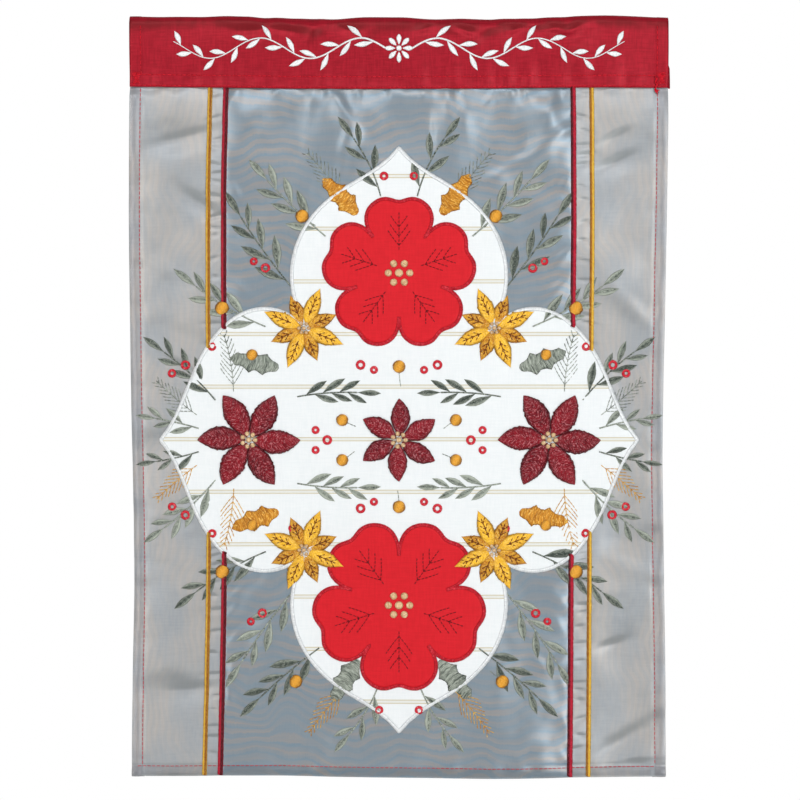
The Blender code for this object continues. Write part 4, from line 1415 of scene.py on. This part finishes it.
# A white leafy garland along the sleeve
garland = {
    "middle": -20.5 * mm,
    "swing": 6.0 * mm,
    "wave": 60 * mm,
    "start": 8 * mm,
    "firstLeaf": 15 * mm,
    "leafStep": 6.8 * mm,
    "reach": 136 * mm,
    "leaf": 12.5 * mm,
    "leafSize": (3.2 * mm, 0.6 * mm),  # width and height
    "stem": (1.2 * mm, 0.6 * mm),
    "heart": 2.2 * mm,  # the flower's petals start this far out
    "petal": (6.2 * mm, 3.0 * mm, 0.7 * mm),  # length, width and height
    "bud": (1.7 * mm, 1.1 * mm),
}


def makeGarland():
    # The stem is a sine along the sleeve that grows thinner, with leaves on either side of it in
    # turn, and a flower of eight round petals in the middle.
    size, parts = garland, []
    rate = 2 * math.pi / size["wave"]
    x = np.arange(size["start"], size["reach"], 1.0 * mm)
    for side in (-1, 1):
        z = size["middle"] + size["swing"] * np.sin(rate * (x - size["start"]))
        parts.append(satinBand(np.stack([side * x, z], axis=1), *size["stem"], across=5, slant=0.4,
                               profile=lambda t: 1.0 - 0.55 * t, ground=sleeveFront, shade=0.7))
        for k, place in enumerate(np.arange(size["firstLeaf"], size["reach"], size["leafStep"])):
            angle = rate * (place - size["start"])
            turn = 44 if k % 2 else -44
            heading = math.degrees(math.atan(size["swing"] * rate * math.cos(angle))) + turn
            length = size["leaf"] * (1 - 0.25 * place / size["reach"])
            parts.append(leaf(side * place, size["middle"] + size["swing"] * math.sin(angle),
                              heading if side > 0 else 180 - heading, length, *size["leafSize"],
                              bend=-0.4 * turn * side, ground=sleeveFront, shade=0.6))
    heart = {"x": 0.0, "z": size["middle"]}
    for angle in range(0, 360, 45):
        parts.append(leaf(*moved(heart, angle, size["heart"]), angle, *size["petal"], belly=0.6,
                          fullness=0.6, ground=sleeveFront, shade=0.7))
    parts.append(dome(heart["x"], heart["z"], *size["bud"], ground=sleeveFront, shade=0.8))
    sewPiece("sleeve_garland", parts, "white")


cloths = {  # screen colours and the shader's own values
    "centre_satin": {
        "cool": (112, 144, 166), "warm": (162, 154, 149), "slub": (158, 164, 168), "slubShare": 0.15,
        "water": {"Period": 6.3 * mm, "Drift": 6.8}, "turn": 0.0, "bandShare": 0.85,
        "swirl": {"place": (30.6 * mm, 45 * mm), "reach": (15 * mm, 17 * mm), "turns": 1.3},
        "hems": {"Y": (footInset, (226, 226, 226))}, "float": 4.0, "bump": 0.10,
        "gloss": {"roughness": 0.38, "specular": 0.25, "metallic": 0.46},
    },
    "side_satin": {
        "cool": (149, 158, 167), "warm": (176, 171, 167), "slub": (188, 188, 188), "slubShare": 0.20,
        "water": {"Period": 4.6 * mm, "Drift": 9.0}, "turn": math.pi / 2, "bandShare": 0.50,
        "hems": {"X": (hemInset, (238, 236, 238)), "Y": (footInset, (220, 219, 220))},
        # deep: painted shade, darker where the cloth leans down into a fold
        "deep": {"lean": 0.30, "share": 0.7, "tone": (124, 129, 131)}, "float": 4.0, "bump": 0.12,
        "gloss": {"roughness": 0.42, "specular": 0.35, "metallic": 0.28},
    },
    "sleeve_satin": {
        "cool": (148, 14, 33), "slub": (180, 26, 46), "slubShare": 0.6, "float": 3.0, "bump": 0.15,
        # deep: painted shade where the cloth leans down and along its turned-over top
        "deep": {"lean": 0.40, "share": 0.75, "tone": (104, 14, 20)},
        "gloss": {"roughness": 0.45, "specular": 0.22, "metallic": 0.30},
    },
    "medallion_cloth": {
        "cool": (224, 229, 232), "slub": (233, 236, 238), "slubShare": 0.5, "float": 1.0, "bump": 0.15,
        "lines": {"start": -0.2545, "period": 31.5 * mm, "apart": 1.9 * mm, "width": 0.5 * mm,
                  "between": 0.25, "tone": (196, 186, 156)},
        "gloss": {"roughness": 0.55, "specular": 0.3, "sheen": 0.1},
    },
    "rosette_cloth": {
        "cool": (200, 12, 28), "slub": (222, 24, 40), "slubShare": 0.4, "float": 1.0, "bump": 0.2,
        "gloss": {"roughness": 0.55, "specular": 0.22, "sheen": 0.08},
    },
}
threadTones = {  # name: slot, dark, light and glint colours, and how much the glints show
    "white": ("white_thread", (206, 211, 215), (238, 241, 243), (250, 250, 250), 0.4),
    "redStripe": ("red_thread", (54, 0, 4), (184, 22, 48), (222, 84, 106), 0.4),
    "goldStripe": ("gold_thread", (132, 66, 0), (230, 182, 58), (246, 218, 122), 0.5),
    "redBorder": ("red_thread", (150, 12, 28), (206, 26, 44), (232, 84, 96), 0.5),
    "hem": ("red_thread", (170, 50, 62), (200, 80, 90), (214, 120, 126), 0.5),
    "sleeve": ("red_thread", (168, 4, 26), (222, 12, 38), (228, 60, 78), 0.3),
    "sage": ("sage_thread", (48, 58, 52), (182, 190, 178), (212, 218, 206), 0.35),
    "gold": ("gold_thread", (168, 96, 16), (246, 192, 52), (255, 228, 140), 0.5),
    "ochre": ("gold_thread", (148, 84, 16), (228, 158, 46), (252, 212, 112), 0.7),
    "crimson": ("crimson_thread", (76, 0, 14), (144, 8, 28), (226, 150, 158), 0.45),
    "berry": ("red_thread", (178, 16, 36), (214, 36, 54), (240, 120, 128), 0.5),
    "beige": ("beige_thread", (176, 134, 92), (228, 196, 150), (250, 232, 200), 0.5),
    "brown": ("brown_thread", (104, 50, 14), (132, 70, 22), (150, 90, 38), 0.4),
    "darkRed": ("crimson_thread", (88, 4, 16), (116, 10, 24), (150, 40, 50), 0.4),
}


def main():
    for makeGroup in (makeWeaveGroup, makeWateringGroup, makeThreadGroup):
        makeGroup()
    for name, look in cloths.items():
        materials[name] = clothMaterial(name, look)
    for name, (slot, *look) in threadTones.items():
        materials[name] = threadMaterial(name + "_thread", *look)
    makeStudio()
    print("stage: studio and materials")
    for region, slot in (("left", "side_satin"), ("centre", "centre_satin"), ("right", "side_satin")):
        panelSheet(region, slot)
    sleeveSheet()
    print("stage: panels and sleeve")
    appliedSheet("medallion", medallion, "medallion_cloth")
    for name, shape in rosettes.items():
        appliedSheet(name, shape, "rosette_cloth")
    print("stage: applied cloth")
    makeStripes()
    makeBorders()
    makeHems()
    makeSleeveStitches()
    print("stage: sewing")
    makeEmbroidery()
    makeGarland()
    print("stage: embroidery")


main()
